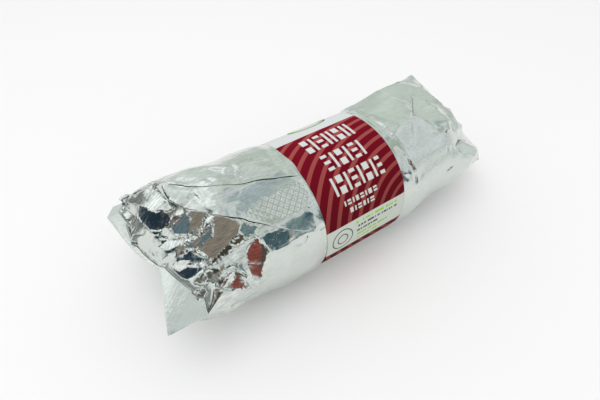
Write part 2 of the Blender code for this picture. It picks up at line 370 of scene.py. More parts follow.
# %% Corners of the studio
PALE = (0.80, 0.83, 0.84, 1)
CORNERS = {
    "green": ((0.70, 0.64, 0.32), 0.70, 0.93, (0.70, 0.76, 0.71, 1)),
    "lilac": ((0.80, -0.31, 0.52), 0.88, 0.97, (0.79, 0.82, 0.85, 1)),
    "steel": ((0.36, 0.14, 0.92), 0.958, 0.987, (0.52, 0.60, 0.64, 1)),
    "olive": ((0.38, -0.36, 0.85), 0.94, 0.992, (0.52, 0.57, 0.51, 1)),
    "window": ((-0.08, 0.68, 0.73), 0.978, 0.991, (1.28, 1.30, 1.32, 1)),
    "grey": ((0.41, -0.87, 0.28), 0.973, 0.987, (0.25, 0.34, 0.36, 1)),
    "blue": ((0.49, -0.865, 0.09), 0.978, 0.994, (0.065, 0.125, 0.155, 1)),
    "brown": ((-0.66, -0.10, 0.75), 0.905, 0.940, (0.33, 0.275, 0.235, 1)),
    "shade": ((-0.60, -0.67, 0.43), 0.930, 0.960, (0.05, 0.055, 0.045, 1)),
    "navy": ((-0.68, 0.69, 0.25), 0.918, 0.950, (0.014, 0.032, 0.058, 1)),
    "night": ((-0.90, 0.36, 0.22), 0.925, 0.958, (0.014, 0.032, 0.058, 1)),
    "haze": ((-0.83, 0.54, -0.13), 0.968, 0.982, (0.58, 0.60, 0.57, 1)),
    "dusk": ((-0.93, -0.28, 0.25), 0.970, 0.988, (0.10, 0.10, 0.085, 1)),
    "slate": ((-0.82, 0.22, 0.53), 0.975, 0.988, (0.14, 0.20, 0.24, 1)),
    "tan": ((-0.66, 0.52, 0.54), 0.980, 0.991, (0.27, 0.22, 0.185, 1)),
    "bright": ((-0.36, 0.83, 0.43), 0.965, 0.984, (1.20, 1.22, 1.24, 1)),
    "ash": ((-0.42, 0.905, 0.07), 0.972, 0.988, (0.22, 0.23, 0.215, 1)),
    "glow": ((-0.985, 0.06, 0.14), 0.976, 0.989, (1.25, 1.27, 1.30, 1)),
    "umber": ((-0.28, -0.88, 0.38), 0.950, 0.974, (0.10, 0.085, 0.07, 1)),
    "red": ((0.03, -0.975, 0.22), 0.977, 0.989, (0.27, 0.070, 0.055, 1)),
    "lit": ((-0.06, -0.62, 0.78), 0.960, 0.990, PALE),
}
print("corners of the studio:", sorted(CORNERS))

# %% [markdown]
# ## Two edges of the sheet
# The foil is a sheet rolled round the food, so it ends in free edges. On the eared half one edge, the lap,
# runs slanting over the roll. A second one, the seam, lies on top of it, further back. Both are lines on
# the roll, given by turn and X. They are needed now, because the big facets end where the lap begins.

# %% Where the edges run
LAP_EDGE = [  # turn in degrees, x in mm
    (-78, -62), (35, -62), (48, -61.5), (65, -61.9), (78, -62.6), (91, -59.6), (99, -55.7), (112, -49.5),
    (125, -42.8), (134, -37.1), (140, -33.8), (152, -25.3), (160, -17.5),
]
SEAM_EDGE = [
    (-76, -60.6), (35, -60.6), (52, -59.6), (69, -57.7), (78, -53.7), (85, -49.1), (92, -41.6),
    (98, -35.1), (101, -29.4), (106, -22.9), (110, -16.6),
]
print("the lap runs over", LAP_EDGE[-1][1] - LAP_EDGE[1][1], "mm of the roll")

# %% [markdown]
# ## Big facets, placed by what they mirror
# The eared end is the liveliest part: big flat facets, each mirroring another corner of the studio. They
# could be sculpted by eye, but a mirror tilted by two degrees already shows something else. A facet
# mirrors a thing when it faces halfway between the eye and that thing. So each facet gets an outline and
# the name of what it mirrors, and from that its slope follows. The heights are then settled so that the
# slopes fit together as well as they can. Where two facets meet, a step is allowed: that gives the sharp
# fold between them. A pale facet mirrors the floor or the ceiling. A rim one is tipped up just enough to
# mirror the wall instead of the floor.
# The outlines are laid out as the camera sees them, in points of a picture 600 points wide. A later
# facet lies over an earlier one, as with cut paper, so they are laid in this order.

# %% Two large facets that the others lie on
# Each facet here and below says what it mirrors, then gives its corners across and down the picture.
GROUND_FACETS = [
    ("pale", [
        (190, 292), (202, 287), (227, 288), (256, 288), (265, 257), (289, 242), (322, 222), (326, 251),
        (294, 279), (256, 297), (233, 308), (211, 312),
    ]),
    ("brown", [
        (206, 212), (240, 220), (246, 226), (240, 232), (233, 240), (225, 248), (217, 257), (209, 259),
        (202, 253), (193, 248), (187, 251), (180, 257), (182, 248), (188, 243), (193, 237), (201, 232),
        (206, 225),
    ]),
]
print("large facets:", len(GROUND_FACETS))

# %% Facets of the back ear and round the notch
BACK_EAR_FACETS = [
    ("bright", [
        (121, 201), (130, 196), (147, 188), (154, 189), (161, 193), (167, 200), (172, 208), (167, 211),
        (161, 210), (155, 212), (151, 211), (148, 209), (142, 206), (128, 203),
    ]),
    ("haze", [
        (131, 243), (137, 241), (157, 239), (176, 240), (186, 246), (177, 258), (168, 265), (160, 266),
        (150, 255), (140, 249),
    ]),
    ("ash", [
        (121, 202), (125, 206), (129, 209), (136, 216), (142, 224), (150, 231), (145, 231), (141, 235),
        (131, 240), (128, 231), (124, 215),
    ]),
    ("navy", [
        (122, 202), (128, 203), (142, 206), (151, 211), (155, 212), (161, 210), (167, 212), (171, 219),
        (166, 227), (157, 231), (151, 230), (142, 224), (136, 216), (129, 209),
    ]),
    ("pale", [
        (144, 230), (156, 234), (159, 231), (165, 227), (169, 229), (171, 233), (176, 236), (188, 236),
        (198, 230), (200, 233), (192, 237), (175, 239), (160, 236), (155, 235), (147, 238), (139, 240),
        (132, 242), (131, 240), (141, 235),
    ]),
    ("pale", [(134, 242), (156, 236), (157, 240), (147, 247), (141, 247)]),
    ("haze", [(158, 249), (165, 250), (176, 248), (168, 254), (162, 258), (160, 262), (157, 258)]),
    ("pale", [
        (159, 262), (164, 258), (168, 255), (176, 250), (178, 252), (171, 259), (166, 264), (160, 265),
    ]),
    ("glow", [
        (158, 247), (165, 241), (172, 240), (187, 238), (197, 234), (198, 236), (185, 244), (174, 249),
        (166, 250),
    ]),
    ("tan", [(178, 248), (184, 243), (185, 248), (181, 254), (181, 257), (176, 262), (174, 258)]),
]
print("facets of the back ear:", len(BACK_EAR_FACETS))

# %% Facets of the steep end, above the notch
STEEP_END_FACETS = [
    ("tan", [(168, 211), (178, 208), (181, 216), (174, 223), (168, 228), (170, 220), (166, 214)]),
    ("bright", [(172, 217), (176, 211), (183, 208), (184, 213), (178, 215)]),
    ("slate", [
        (170, 228), (174, 223), (181, 217), (186, 214), (190, 217), (190, 224), (188, 235), (176, 235),
        (172, 233),
    ]),
    ("brown", [
        (184, 208), (207, 212), (200, 229), (192, 231), (188, 234), (190, 224), (191, 217), (188, 214),
    ]),
    ("bright", [(192, 238), (188, 236), (200, 230), (208, 212), (214, 215), (207, 226), (200, 233)]),
    ("slate", [(195, 248), (201, 237), (208, 226), (213, 221), (212, 237), (205, 242), (199, 248)]),
]
print("facets of the steep end:", len(STEEP_END_FACETS))

# %% Facets of the pleats that run down to the front ear
FRONT_EAR_FACETS = [
    ("night", [
        (168, 265), (172, 258), (181, 256), (189, 250), (199, 256), (209, 259), (198, 262), (181, 262),
        (172, 264),
    ]),
    ("glow", [
        (171, 265), (193, 263), (213, 259), (203, 269), (201, 268), (187, 266), (179, 271), (176, 269),
    ]),
    ("night", [(171, 266), (179, 271), (187, 266), (201, 268), (189, 281), (181, 280), (173, 272)]),
    ("glow", [(189, 281), (201, 268), (213, 259), (204, 271), (196, 278), (193, 281)]),
    ("dusk", [
        (193, 282), (203, 272), (219, 268), (227, 268), (220, 272), (217, 281), (208, 281), (200, 285),
    ]),
    ("pale", [(192, 289), (199, 286), (217, 281), (217, 286), (211, 289), (204, 290)]),
    ("dusk", [(191, 292), (203, 290), (209, 292), (203, 298), (198, 299)]),
    ("pale", [(201, 301), (208, 293), (216, 288), (220, 292), (217, 304), (211, 317), (204, 317)]),
]
print("facets towards the front ear:", len(FRONT_EAR_FACETS))

# %% Shaded facets beside the steep end
SHADED_FACETS = [
    ("dusk", [(198, 235), (203, 231), (207, 225), (213, 219), (211, 226), (204, 233), (200, 236)]),
    ("umber", [(246, 231), (252, 236), (244, 241), (236, 247), (229, 244), (237, 238)]),
    ("shade", [(229, 244), (236, 247), (228, 253), (219, 261), (212, 267), (208, 262), (216, 256)]),
    ("dusk", [(210, 262), (212, 267), (204, 273), (202, 271)]),
    ("grey", [(240, 223), (261, 225), (255, 234), (248, 237), (244, 238), (240, 231)]),
    ("lit", [
        (203, 272), (215, 263), (230, 252), (246, 240), (257, 236), (249, 248), (236, 264), (232, 263),
        (219, 268),
    ]),
]
print("facets in the shade:", len(SHADED_FACETS))

# %% Facets along the front, most of them coloured
FRONT_FACETS = [
    ("red", [(249, 246), (258, 236), (261, 243), (263, 265), (247, 264), (246, 253)]),
    ("red", [(247, 264), (263, 265), (262, 275), (257, 288), (253, 278)]),
    ("umber", [(261, 239), (267, 250), (266, 260), (263, 266), (261, 247)]),
    ("blue", [
        (261, 237), (266, 232), (274, 230), (286, 227), (291, 240), (279, 248), (271, 251), (266, 246),
    ]),
    ("grey", [
        (286, 227), (292, 219), (309, 211), (322, 213), (322, 222), (311, 230), (299, 235), (291, 240),
    ]),
    ("lit", [
        (217, 282), (221, 272), (232, 264), (236, 266), (246, 274), (245, 277), (241, 276), (235, 269),
        (231, 271), (223, 277),
    ]),
    ("pale", [(218, 290), (218, 284), (227, 278), (235, 270), (235, 276), (230, 282), (223, 288)]),
    ("red", [
        (218, 290), (223, 288), (235, 277), (235, 271), (242, 275), (249, 286), (244, 288), (241, 290),
    ]),
]
print("facets along the front:", len(FRONT_FACETS))

# %% Facets on top of the eared half
TOP_FACETS = [
    ("steel", [
        (214, 194), (224, 186), (279, 184), (296, 178), (286, 190), (263, 205), (248, 200), (222, 202),
    ]),
    ("pale", [(155, 186), (163, 181), (180, 182), (192, 187), (192, 196), (180, 206), (166, 199)]),
    ("window", [(193, 189), (202, 189), (214, 206), (213, 211), (205, 208), (201, 200)]),
    ("window", [(231, 166), (236, 165), (242, 172), (239, 179), (234, 175)]),
    ("window", [(207, 170), (214, 168), (225, 169), (224, 172), (214, 172)]),
    ("window", [(169, 183), (178, 182), (187, 185), (178, 187)]),
]
print("facets on top:", len(TOP_FACETS))

# %% Facets of the far end, and the patch beside the band
FAR_FACETS = [
    ("rim", [
        (337, 109), (360, 97), (385, 82), (400, 74), (411, 74), (418, 77), (437, 97), (452, 112),
        (461, 127), (455, 131), (447, 120), (437, 108), (425, 100), (412, 95), (413, 117), (400, 124),
        (388, 132), (373, 121), (352, 110),
    ]),
    ("green", [
        (412, 95), (425, 100), (437, 108), (447, 120), (450, 129), (447, 129), (431, 123), (419, 118),
        (413, 117),
    ]),
    ("pale", [(399, 157), (404, 160), (409, 168), (411, 186), (404, 190), (403, 178), (401, 168)]),
    ("grey", [(446, 171), (453, 165), (454, 167), (447, 173)]),
    ("rim", [(460, 139), (468, 142), (477, 146), (477, 152), (474, 157), (465, 154), (460, 148)]),
    ("olive", [
        (242, 217), (250, 209), (257, 202), (279, 192), (299, 178), (312, 200), (292, 217), (268, 224),
    ]),
    ("lilac", [
        (392, 134), (400, 124), (413, 116), (419, 118), (431, 123), (447, 129), (458, 135), (456, 144),
        (441, 147), (430, 149), (412, 147), (400, 142),
    ]),
]
FACETS = [
    *GROUND_FACETS, *BACK_EAR_FACETS, *STEEP_END_FACETS, *FRONT_EAR_FACETS, *SHADED_FACETS,
    *FRONT_FACETS, *TOP_FACETS, *FAR_FACETS,
]
print("facets in all:", len(FACETS))

# %% Where a point shows in the picture
PICTURE = (600, 400)


def unit(vectors):
    return vectors / np.maximum(np.linalg.norm(vectors, axis=-1, keepdims=True), 1e-12)


eye = np.array(camera.location)
ahead = -np.array(toward_camera)
rightward = unit(np.cross(ahead, (0, 0, 1)))
upward = np.cross(rightward, ahead)
zoom = camera_data.lens / camera_data.sensor_width * PICTURE[0]


def in_picture(points):
    """How far across and how far down the picture each point shows."""
    seen = points - eye
    depth = seen @ ahead
    across, up_from_middle = zoom * (seen @ rightward) / depth, zoom * (seen @ upward) / depth
    return PICTURE[0] / 2 + across, PICTURE[1] / 2 - up_from_middle


def within(across, down, outline):
    """True for the places that lie inside an outline."""
    inside = np.zeros(across.shape, bool)
    for (x0, y0), (x1, y1) in zip(outline, outline[1:] + outline[:1]):
        if y0 != y1:
            crosses = (y0 > down) != (y1 > down)
            inside ^= crosses & (across < x0 + (down - y0) * (x1 - x0) / (y1 - y0))
    return inside


roll_middle = np.array(STAND) + (0, 0, CENTRE_Z)
print("the middle of the roll shows at", np.round(in_picture(roll_middle)))

# %% [markdown]
# ## From what a facet mirrors to how it faces
# A mirror faces halfway between the eye and what is seen in it. So the wanted facing of each point is the
# sum of two directions, to the eye and to the thing, made one long again. Only points on the side that
# the camera sees get a facet. The rest of the roll keeps what it mirrors already.

# %% What the smooth roll mirrors now, and what a facet is to mirror
HIGH_UP = 0.25  # what mirrors higher than this goes on to the ceiling, all else goes down to the floor
TO_CEILING, TO_FLOOR, ABOVE_FLOOR = 1.0, -0.25, 0.15


def mirrored(points, out):
    to_eye = unit(eye - points)
    return 2 * (out * to_eye).sum(-1, keepdims=True) * out - to_eye


mirrored_now = mirrored(net, net_out)


def wanted_direction(name):
    """The direction that a facet of this name mirrors, at every point of the net."""
    if name in CORNERS:
        return np.broadcast_to(unit(np.array(CORNERS[name][0])), net.shape)
    wanted = mirrored_now.copy()
    rise = mirrored_now[..., 2]
    if name == "pale":
        wanted[..., 2] = np.where(rise > HIGH_UP, np.maximum(rise, TO_CEILING), np.minimum(rise, TO_FLOOR))
    else:
        wanted[..., 2] = np.maximum(rise, ABOVE_FLOOR)
    return unit(wanted)


print("the middle of the top mirrors towards", np.round(mirrored_now[len(ring_x) // 2, SIDES // 4], 2))

# %% What each point should face
SHOWN_FROM, SHOWN_TO = 25, 205  # degrees round the roll
SEEN_AT_ALL = 0.05  # least cosine between a point's own direction and the eye's
degrees_round = np.degrees(net_turn)
faces_eye = (net_out * unit(eye - net)).sum(-1) > SEEN_AT_ALL
on_show = (degrees_round > SHOWN_FROM) & (degrees_round < SHOWN_TO) & faces_eye


def facets_at(points):
    """Which facet each point belongs to, and what it should face."""
    across, down = in_picture(points)
    owner = np.zeros(across.shape, int)
    wanted = mirrored_now.copy()
    for number, (name, outline) in enumerate(FACETS, 1):
        inside = within(across, down, outline) & on_show
        owner[inside] = number
        wanted[inside] = wanted_direction(name)[inside]
    return owner, unit(unit(eye - net) + wanted)


print("points in facets:", int((facets_at(net)[0] > 0).sum()))

# %% [markdown]
# ## Heights from slopes
# A facing asks for a slope along the roll and one round it, between every two neighbouring points. No
# surface has all those slopes at once, so the heights are sought that come closest to them, with a weak
# pull back to the smooth roll. That is one large set of linear sums, and conjugate gradients solve it in
# a few hundred rounds. Steps across a fold count little, so the facets may break sharply there.

# %% Steps of the net, and where it may move
TIP_STAYS = 1.0 * MM
step_along = np.diff(net, axis=0)
step_around = np.roll(net, -1, axis=1) - net
step_s = np.maximum(np.linalg.norm(step_along, axis=-1), 0.05 * MM)
step_v = np.maximum(np.linalg.norm(step_around, axis=-1), 0.05 * MM)
lap_line = on_line(LAP_EDGE, degrees_round) * MM
outside_band = np.maximum(BAND_START_X - net_x, net_x - BAND_END_X)
from_tips = np.minimum(net_x - NEAR_TIP_X, FAR_TIP_X - net_x)
free = on_show & (from_tips > TIP_STAYS) & (outside_band > 0.0)
before_lap = net_x < lap_line
print("points that may move:", int(free.sum()))

# %% How much each step counts
ACROSS_A_FOLD = 0.05  # how much a slope counts where two facets of the eared end meet in a fold
ACROSS_A_BEND = 0.4  # and where they meet elsewhere
SAME_WAY, OTHER_WAY = 0.996, 0.978  # cosines between two facings


def step_counts(owner, out, axis):
    """How much each step from a point to the next one counts."""
    next_owner, next_out, next_before = (np.roll(grid, -1, axis=axis) for grid in (owner, out, before_lap))
    alike = clamp(((out * next_out).sum(-1) - OTHER_WAY) / (SAME_WAY - OTHER_WAY))
    across = blend(np.where(before_lap, ACROSS_A_FOLD, ACROSS_A_BEND), 1.0, alike)
    return np.where((owner != next_owner) & (before_lap == next_before), across, 1.0)


def fold_counts(owner, out):
    return step_counts(owner, out, axis=0)[:-1], step_counts(owner, out, axis=1)


print("steps that count in full:", int((fold_counts(*facets_at(net))[1] == 1).sum()))


# %% Slopes asked for by a facing
STEEPEST = 1.1
LEAST_FACING = 0.3  # keeps a facing that lies almost along the skin from asking for endless slopes


def slopes_for(out):
    facing = np.maximum((out * net_out).sum(-1), LEAST_FACING)
    along = -(out[:-1] * unit(step_along)).sum(-1) / facing[:-1]
    around = -(out * unit(step_around)).sum(-1) / facing
    return np.clip(along, -STEEPEST, STEEPEST), np.clip(around, -STEEPEST, STEEPEST)


def gathered_back(along, around, counts):
    """What the slopes ask of each height."""
    along, around = along * counts[0] / step_s, around * counts[1] / step_v
    total = np.roll(around, 1, axis=1) - around
    total[1:] += along
    total[:-1] -= along
    return total * free


print("steepest slope that is asked for:", round(math.degrees(math.atan(STEEPEST))), "degrees")

# %% Settle the heights
PULL = 1 / (18 * MM) ** 2  # how strongly every point wants to stay on the smooth roll


def pushed_by(height, counts):
    """What the heights themselves do to the slopes, gathered the same way."""
    around = (np.roll(height, -1, axis=1) - height) / step_v
    return gathered_back(np.diff(height, axis=0) / step_s, around, counts) + PULL * height


def settle(out, height, counts, rounds=250):
    """Heights whose slopes come close to the ones asked for, found by conjugate gradients."""
    left = gathered_back(*slopes_for(out), counts) - pushed_by(height, counts)
    search = left.copy()
    size = (left * left).sum()
    for _ in range(rounds):
        pushed = pushed_by(search, counts)
        stride = size / (search * pushed).sum()
        height = height + stride * search
        left -= stride * pushed
        new_size = (left * left).sum()
        search = left + new_size / size * search
        size = new_size
    return height


print("a bend fades out over about", round(PULL**-0.5 / MM), "mm")

# %% Settle, look, and settle again with the outlines laid on the new heights
SETTLE_AGAIN = 7
AIM_FURTHER = 0.7  # share of what a facet falls short that is added to its aim
owner, wanted_out = facets_at(net)
further = np.zeros((len(FACETS) + 1, 3))  # how much further each facet aims, as its neighbours hold it back
placed_lift = np.zeros(net.shape[:2])
for _ in range(SETTLE_AGAIN):
    placed_lift = settle(unit(wanted_out + further[owner]), placed_lift, fold_counts(owner, wanted_out))
    placed = net + net_out * placed_lift[..., None]
    faced = directions_out(placed)
    owner, wanted_out = facets_at(placed)
    short = wanted_out - faced
    for number in range(1, len(FACETS) + 1):
        mine = owner == number
        if mine.any():
            further[number] += AIM_FURTHER * np.median(short[mine], axis=0)
    missed = np.degrees(np.arccos(clamp((faced * wanted_out).sum(-1))))[free & before_lap & (owner > 0)]
    print("half of the facets' points miss by less than", round(float(np.median(missed)), 1), "degrees")
print("placed facets lift the skin by", np.round([placed_lift.min() / MM, placed_lift.max() / MM], 2), "mm")

# %% [markdown]
# ## Single folds
# Elsewhere the foil is drawn smooth, and a few long folds stand out. Each is a line laid out in the same
# picture, with a height (up is a ridge, down is a groove) and a half width. They could be creases cut
# into the mesh, but as heights they may cross each other and run over facets. Narrow ones are a plain V,
# as foil folds sharp.

# %% The folds that stand out
FOLDS = [  # height, half width, all in mm, then places across and down the picture
    (0.35, 1.6, [(182, 172), (201, 168), (226, 170)]),
    (0.30, 1.5, [(171, 183), (179, 187), (192, 185)]),
    (0.30, 1.6, [(227, 168), (237, 174), (232, 180)]),
    (-0.22, 0.6, [(307, 235), (305, 242)]),
    (0.12, 1.5, [(302, 247), (292, 258), (285, 278)]),
    (0.12, 2.5, [(298, 250), (291, 263), (287, 275)]),
    (0.30, 3.0, [(256, 296), (279, 278), (321, 263)]),
    (-0.50, 0.8, [(233, 307), (239, 303), (248, 300), (254, 295)]),
    (-0.40, 0.8, [(201, 320), (208, 320), (216, 317)]),
    (0.07, 3.0, [(193, 288), (184, 308), (176, 330)]),
    (-0.30, 0.8, [(155, 187), (161, 194), (166, 199)]),
    (0.15, 2.0, [(411, 82), (412, 95), (413, 117)]),
    (0.30, 1.2, [(413, 117), (414, 130), (413, 146)]),
    (-0.40, 0.7, [(396, 148), (405, 157), (410, 163)]),
    (-0.50, 0.8, [(410, 162), (416, 175), (416, 182)]),
    (-0.20, 0.5, [(400, 165), (405, 173), (408, 180)]),
    (-0.35, 3.5, [
        (374, 122), (387, 132), (400, 124), (413, 117), (419, 118), (431, 123), (447, 129), (459, 136),
    ]),
    (-0.35, 3.5, [(419, 177), (430, 165), (447, 154), (456, 147)]),
    (-0.25, 0.45, [(448, 146), (449, 152)]),
    (-0.25, 0.45, [(453, 147), (454, 155)]),
    (-0.20, 0.45, [(457, 145), (460, 150)]),
    (-0.35, 0.6, [(447, 172), (453, 166)]),
    (-0.25, 0.7, [(438, 183), (448, 182), (457, 177)]),
    (-0.40, 0.7, [(464, 155), (472, 157)]),
    (0.40, 1.6, [(458, 152), (463, 158), (469, 165)]),
    (0.30, 1.6, [(456, 146), (463, 142), (474, 147)]),
    (0.25, 1.5, [(406, 182), (409, 205)]),
]
print("folds:", len(FOLDS))

# %% Raise or sink the net along them
WIDE_FOLD = 2.5  # mm, the half width from which a fold is a soft bend


def from_line(across, down, places):
    """Distance in picture points to a line of straight pieces."""
    away = np.full(across.shape, np.inf)
    for (x0, y0), (x1, y1) in zip(places, places[1:]):
        length = (x1 - x0) ** 2 + (y1 - y0) ** 2
        share = clamp(((across - x0) * (x1 - x0) + (down - y0) * (y1 - y0)) / length)
        away = np.minimum(away, np.hypot(across - x0 - share * (x1 - x0), down - y0 - share * (y1 - y0)))
    return away


seen_across, seen_down = in_picture(placed)
point_size = ((placed - eye) @ ahead) / zoom
fold_lift = np.zeros(net.shape[:2])
for height, half_width, places in FOLDS:
    near_line = clamp(1 - from_line(seen_across, seen_down, places) * point_size / (half_width * MM))
    fold_lift += height * MM * on_show * (near_line if half_width < WIDE_FOLD else ease(near_line))
print("folds lift the skin by", np.round([fold_lift.min() / MM, fold_lift.max() / MM], 2), "mm")

# %% [markdown]
# ## Crumpled facets
# Crumpled foil is a patchwork of small flat faces that meet in sharp folds. Noise gives soft hills, which
# look like cloth. Here points are strewn over the skin's map, each gets a random height, and a Delaunay
# net joins them into triangles. Reading the heights off those triangles gives flat faces and sharp folds.

# %% Strew points over the map
JITTER = 0.9  # share of its cell over which a point may fall


def strewn(cell, stretch, rng):
    """Jittered points, one to a cell, as (s, v) on the map."""
    columns = max(3, round(map_s[-1] / (cell * stretch)))
    rows = max(3, round(GIRTH / cell))
    middles = (np.arange(columns + 2) - 0.5) / columns, (np.arange(rows) + 0.5) / rows
    s, v = np.meshgrid(*middles, indexing="ij")
    s = (s + (rng.random(s.shape) - 0.5) * JITTER / columns) * map_s[-1]
    v = (v + (rng.random(v.shape) - 0.5) * JITTER / rows) * GIRTH
    return np.stack([s.ravel(), v.ravel()], axis=1)


print("points, one to 12 by 18 mm:", len(strewn(12.0 * MM, 1.5, np.random.default_rng(0))))

# %% Read the heights off one triangle
NO_AREA = 1e-14
ON_EDGE = -1e-9


def read_triangle(field, corners, heights):
    """Fills in the part of the field that lies inside one triangle."""
    rows = slice(*np.searchsorted(map_s, [corners[:, 0].min(), corners[:, 0].max()]))
    columns = slice(*np.searchsorted(map_v, [corners[:, 1].min(), corners[:, 1].max()]))
    s, v = map_s[rows, None], map_v[None, columns]
    (s0, v0), (s1, v1), (s2, v2) = corners
    area = (v1 - v2) * (s0 - s2) + (s2 - s1) * (v0 - v2)
    if abs(area) < NO_AREA or s.size == 0 or v.size == 0:
        return
    a = ((v1 - v2) * (s - s2) + (s2 - s1) * (v - v2)) / area
    b = ((v2 - v0) * (s - s2) + (s0 - s2) * (v - v2)) / area
    c = 1 - a - b
    inside = (a >= ON_EDGE) & (b >= ON_EDGE) & (c >= ON_EDGE)
    value = a * heights[0] + b * heights[1] + c * heights[2]
    field[rows, columns][inside] = value[inside]


trial = np.zeros((len(map_s), SIDES))
read_triangle(trial, np.array([(20, 20), (40, 20), (20, 40)]) * MM, (1, 1, 1))
print("points of the net in half a square of 20 mm:", int((trial > 0).sum()))


# %% Join the points into flat triangles
def facets(cell, seed, stretch=1.0):
    """Heights from -1 to 1 at every point of the net, flat between sharp folds."""
    rng = np.random.default_rng(seed)
    places = strewn(cell, stretch, rng)
    heights = rng.random(len(places)) * 2 - 1
    margin = 3 * cell
    below, above = places[:, 1] < margin, places[:, 1] > GIRTH - margin
    wrapped = np.concatenate([places, places[below] + (0, GIRTH), places[above] - (0, GIRTH)])
    all_heights = np.concatenate([heights, heights[below], heights[above]])
    points = [Vector(place) for place in (wrapped / cell).tolist()]
    joined = geometry.delaunay_2d_cdt(points, [], [], 0, 1e-6)
    triangles, came_from = joined[2], joined[3]
    field = np.zeros((len(map_s), SIDES))
    for triangle in triangles:
        picked = [came_from[corner][0] for corner in triangle]
        read_triangle(field, wrapped[picked], all_heights[picked])
    print("facets of", round(cell / MM, 1), "mm:", len(triangles))
    return field


large_facets = facets(12.0 * MM, 11, stretch=1.5)
middle_facets = facets(5.2 * MM, 23)
small_facets = facets(2.4 * MM, 37)
streaks = facets(1.6 * MM, 53, stretch=4.0)
fine_facets = facets(1.3 * MM, 41)

# %% [markdown]
# ## Where the foil is crumpled, and how much
# The middle of the roll is drawn taut by the food inside, so it has only shallow dents. The ends are
# gathered, and so they are deeply creased. Each size of facet gets its own depth from place to place.

# %% Where it is gathered, placed, on top or flat
CALM_BY_BAND = 2.5 * MM
NEAR_GATHERS, FAR_GATHERS, FAR_TAUT = 1.7, 1.2, 0.2  # how soon each end gathers as it is pinched
PLACED_PAST_LAP = 0.5  # how much a facet beyond the lap counts as placed
TOP_FROM, TOP_OVER = 0.2, 0.5  # sines of the turn
FLAP_FROM, FLAP_OVER = 0.85, 0.10  # shares of the near pinch
side, up = np.cos(net_turn), np.sin(net_turn)
near, far = near_pinch(net_x, side, up), far_pinch(net_x)
clear_of_band = ease(outside_band / CALM_BY_BAND)
gathered = ease(np.maximum(near * NEAR_GATHERS, far * FAR_GATHERS - FAR_TAUT))
placed_here = (owner > 0) * np.where(before_lap, 1.0, PLACED_PAST_LAP)
upper = ease((up - TOP_FROM) / TOP_OVER) * (net_x < 0)
on_flap = ease((near - FLAP_FROM) / FLAP_OVER)
print("points where the foil is gathered:", int((gathered > 0.5).sum()))

# %% Depth of each size of facet
DEPTHS = [  # facets, depth where taut, where gathered, share of that on top, share that placed facets lose
    (large_facets, 0.30 * MM, 0.90 * MM, 0.0, 0.9),
    (middle_facets, 0.10 * MM, 0.32 * MM, 0.45, 0.9),
    (small_facets, 0.035 * MM, 0.10 * MM, 0.7, 0.75),
    (fine_facets, 0.010 * MM, 0.035 * MM, 1.0, 0.65),
]
STREAK_DEPTH = 0.012 * MM
STREAKS_OVER = 0.3  # sine of the turn over which the streaks come in
CALM_ON_FLAP = 0.95

lift = streaks * STREAK_DEPTH * before_lap * ease(up / STREAKS_OVER)
for heights, taut, deep, share, calm in DEPTHS:
    lift += heights * blend(taut, deep, np.maximum(gathered, share * upper)) * (1 - calm * placed_here)
lift *= 1 - CALM_ON_FLAP * on_flap
lift += fold_lift
lift = (lift + placed_lift) * clear_of_band
print("crumple lifts the skin by", np.round(lift.min() / MM, 2), "to", np.round(lift.max() / MM, 2), "mm")

# %% [markdown]
# ## Both layers of a crimp move together
# Where the foil is pinched flat, its top and bottom layers lie on each other. If each had its own creases
# they would cut through one another, so there the bottom layer takes the lift of the point above it.

# %% Lay the crumple on the net
TOGETHER_BELOW = 3.0 * MM  # half height under which the layers move as one
_, half_height, _, _, lean, _ = section(net_x, side, up)
together = 1 - ease((half_height - FOIL_CRIMP / 2) / TOGETHER_BELOW)
mirror = (-np.arange(SIDES)) % SIDES
on_top = np.arange(SIDES)[None, :] <= SIDES // 2
crimp_up = np.stack([np.zeros_like(lean), -np.sin(lean), np.cos(lean)], axis=-1)


def crumpled(lift):
    """The net with a lift laid on it. Where the layers touch, the lower one follows the upper."""
    own = net_out * (lift * (1 - together))[..., None]
    shared = crimp_up * (np.where(on_top, lift, lift[:, mirror]) * together)[..., None]
    moved = net + own + shared
    moved[..., 2] = np.maximum(moved[..., 2], 0.0)
    return moved


skin = crumpled(lift)
skin_out = directions_out(skin)
print("crumpled skin, box, mm:", box_mm(skin))

# %% [markdown]
# ## From points to a mesh
# The net becomes one closed mesh: four-sided faces between neighbouring points, and at each end a row of
# faces that joins the top rim of the crimp to the bottom one. It is cut in two under the band, where no
# one sees it, so that each half can have a fine net. Folds sharper than 50 degrees stay sharp when shaded.

# %% Build a mesh from points and faces
def new_piece(name, points, faces):
    mesh = bpy.data.meshes.new(name)
    mesh.from_pydata(points.reshape(-1, 3).tolist(), [], faces)
    mesh.validate()
    mesh.shade_smooth()
    piece = bpy.data.objects.new(name, mesh)
    bpy.context.scene.collection.objects.link(piece)
    return piece


def give_values(piece, name, values):
    """Stores one number per point, for a material to read."""
    attribute = piece.data.attributes.new(name, "FLOAT", "POINT")
    attribute.data.foreach_set("value", np.asarray(values, np.float32).ravel())


print("points of the net for the mesh:", skin[..., 0].size)
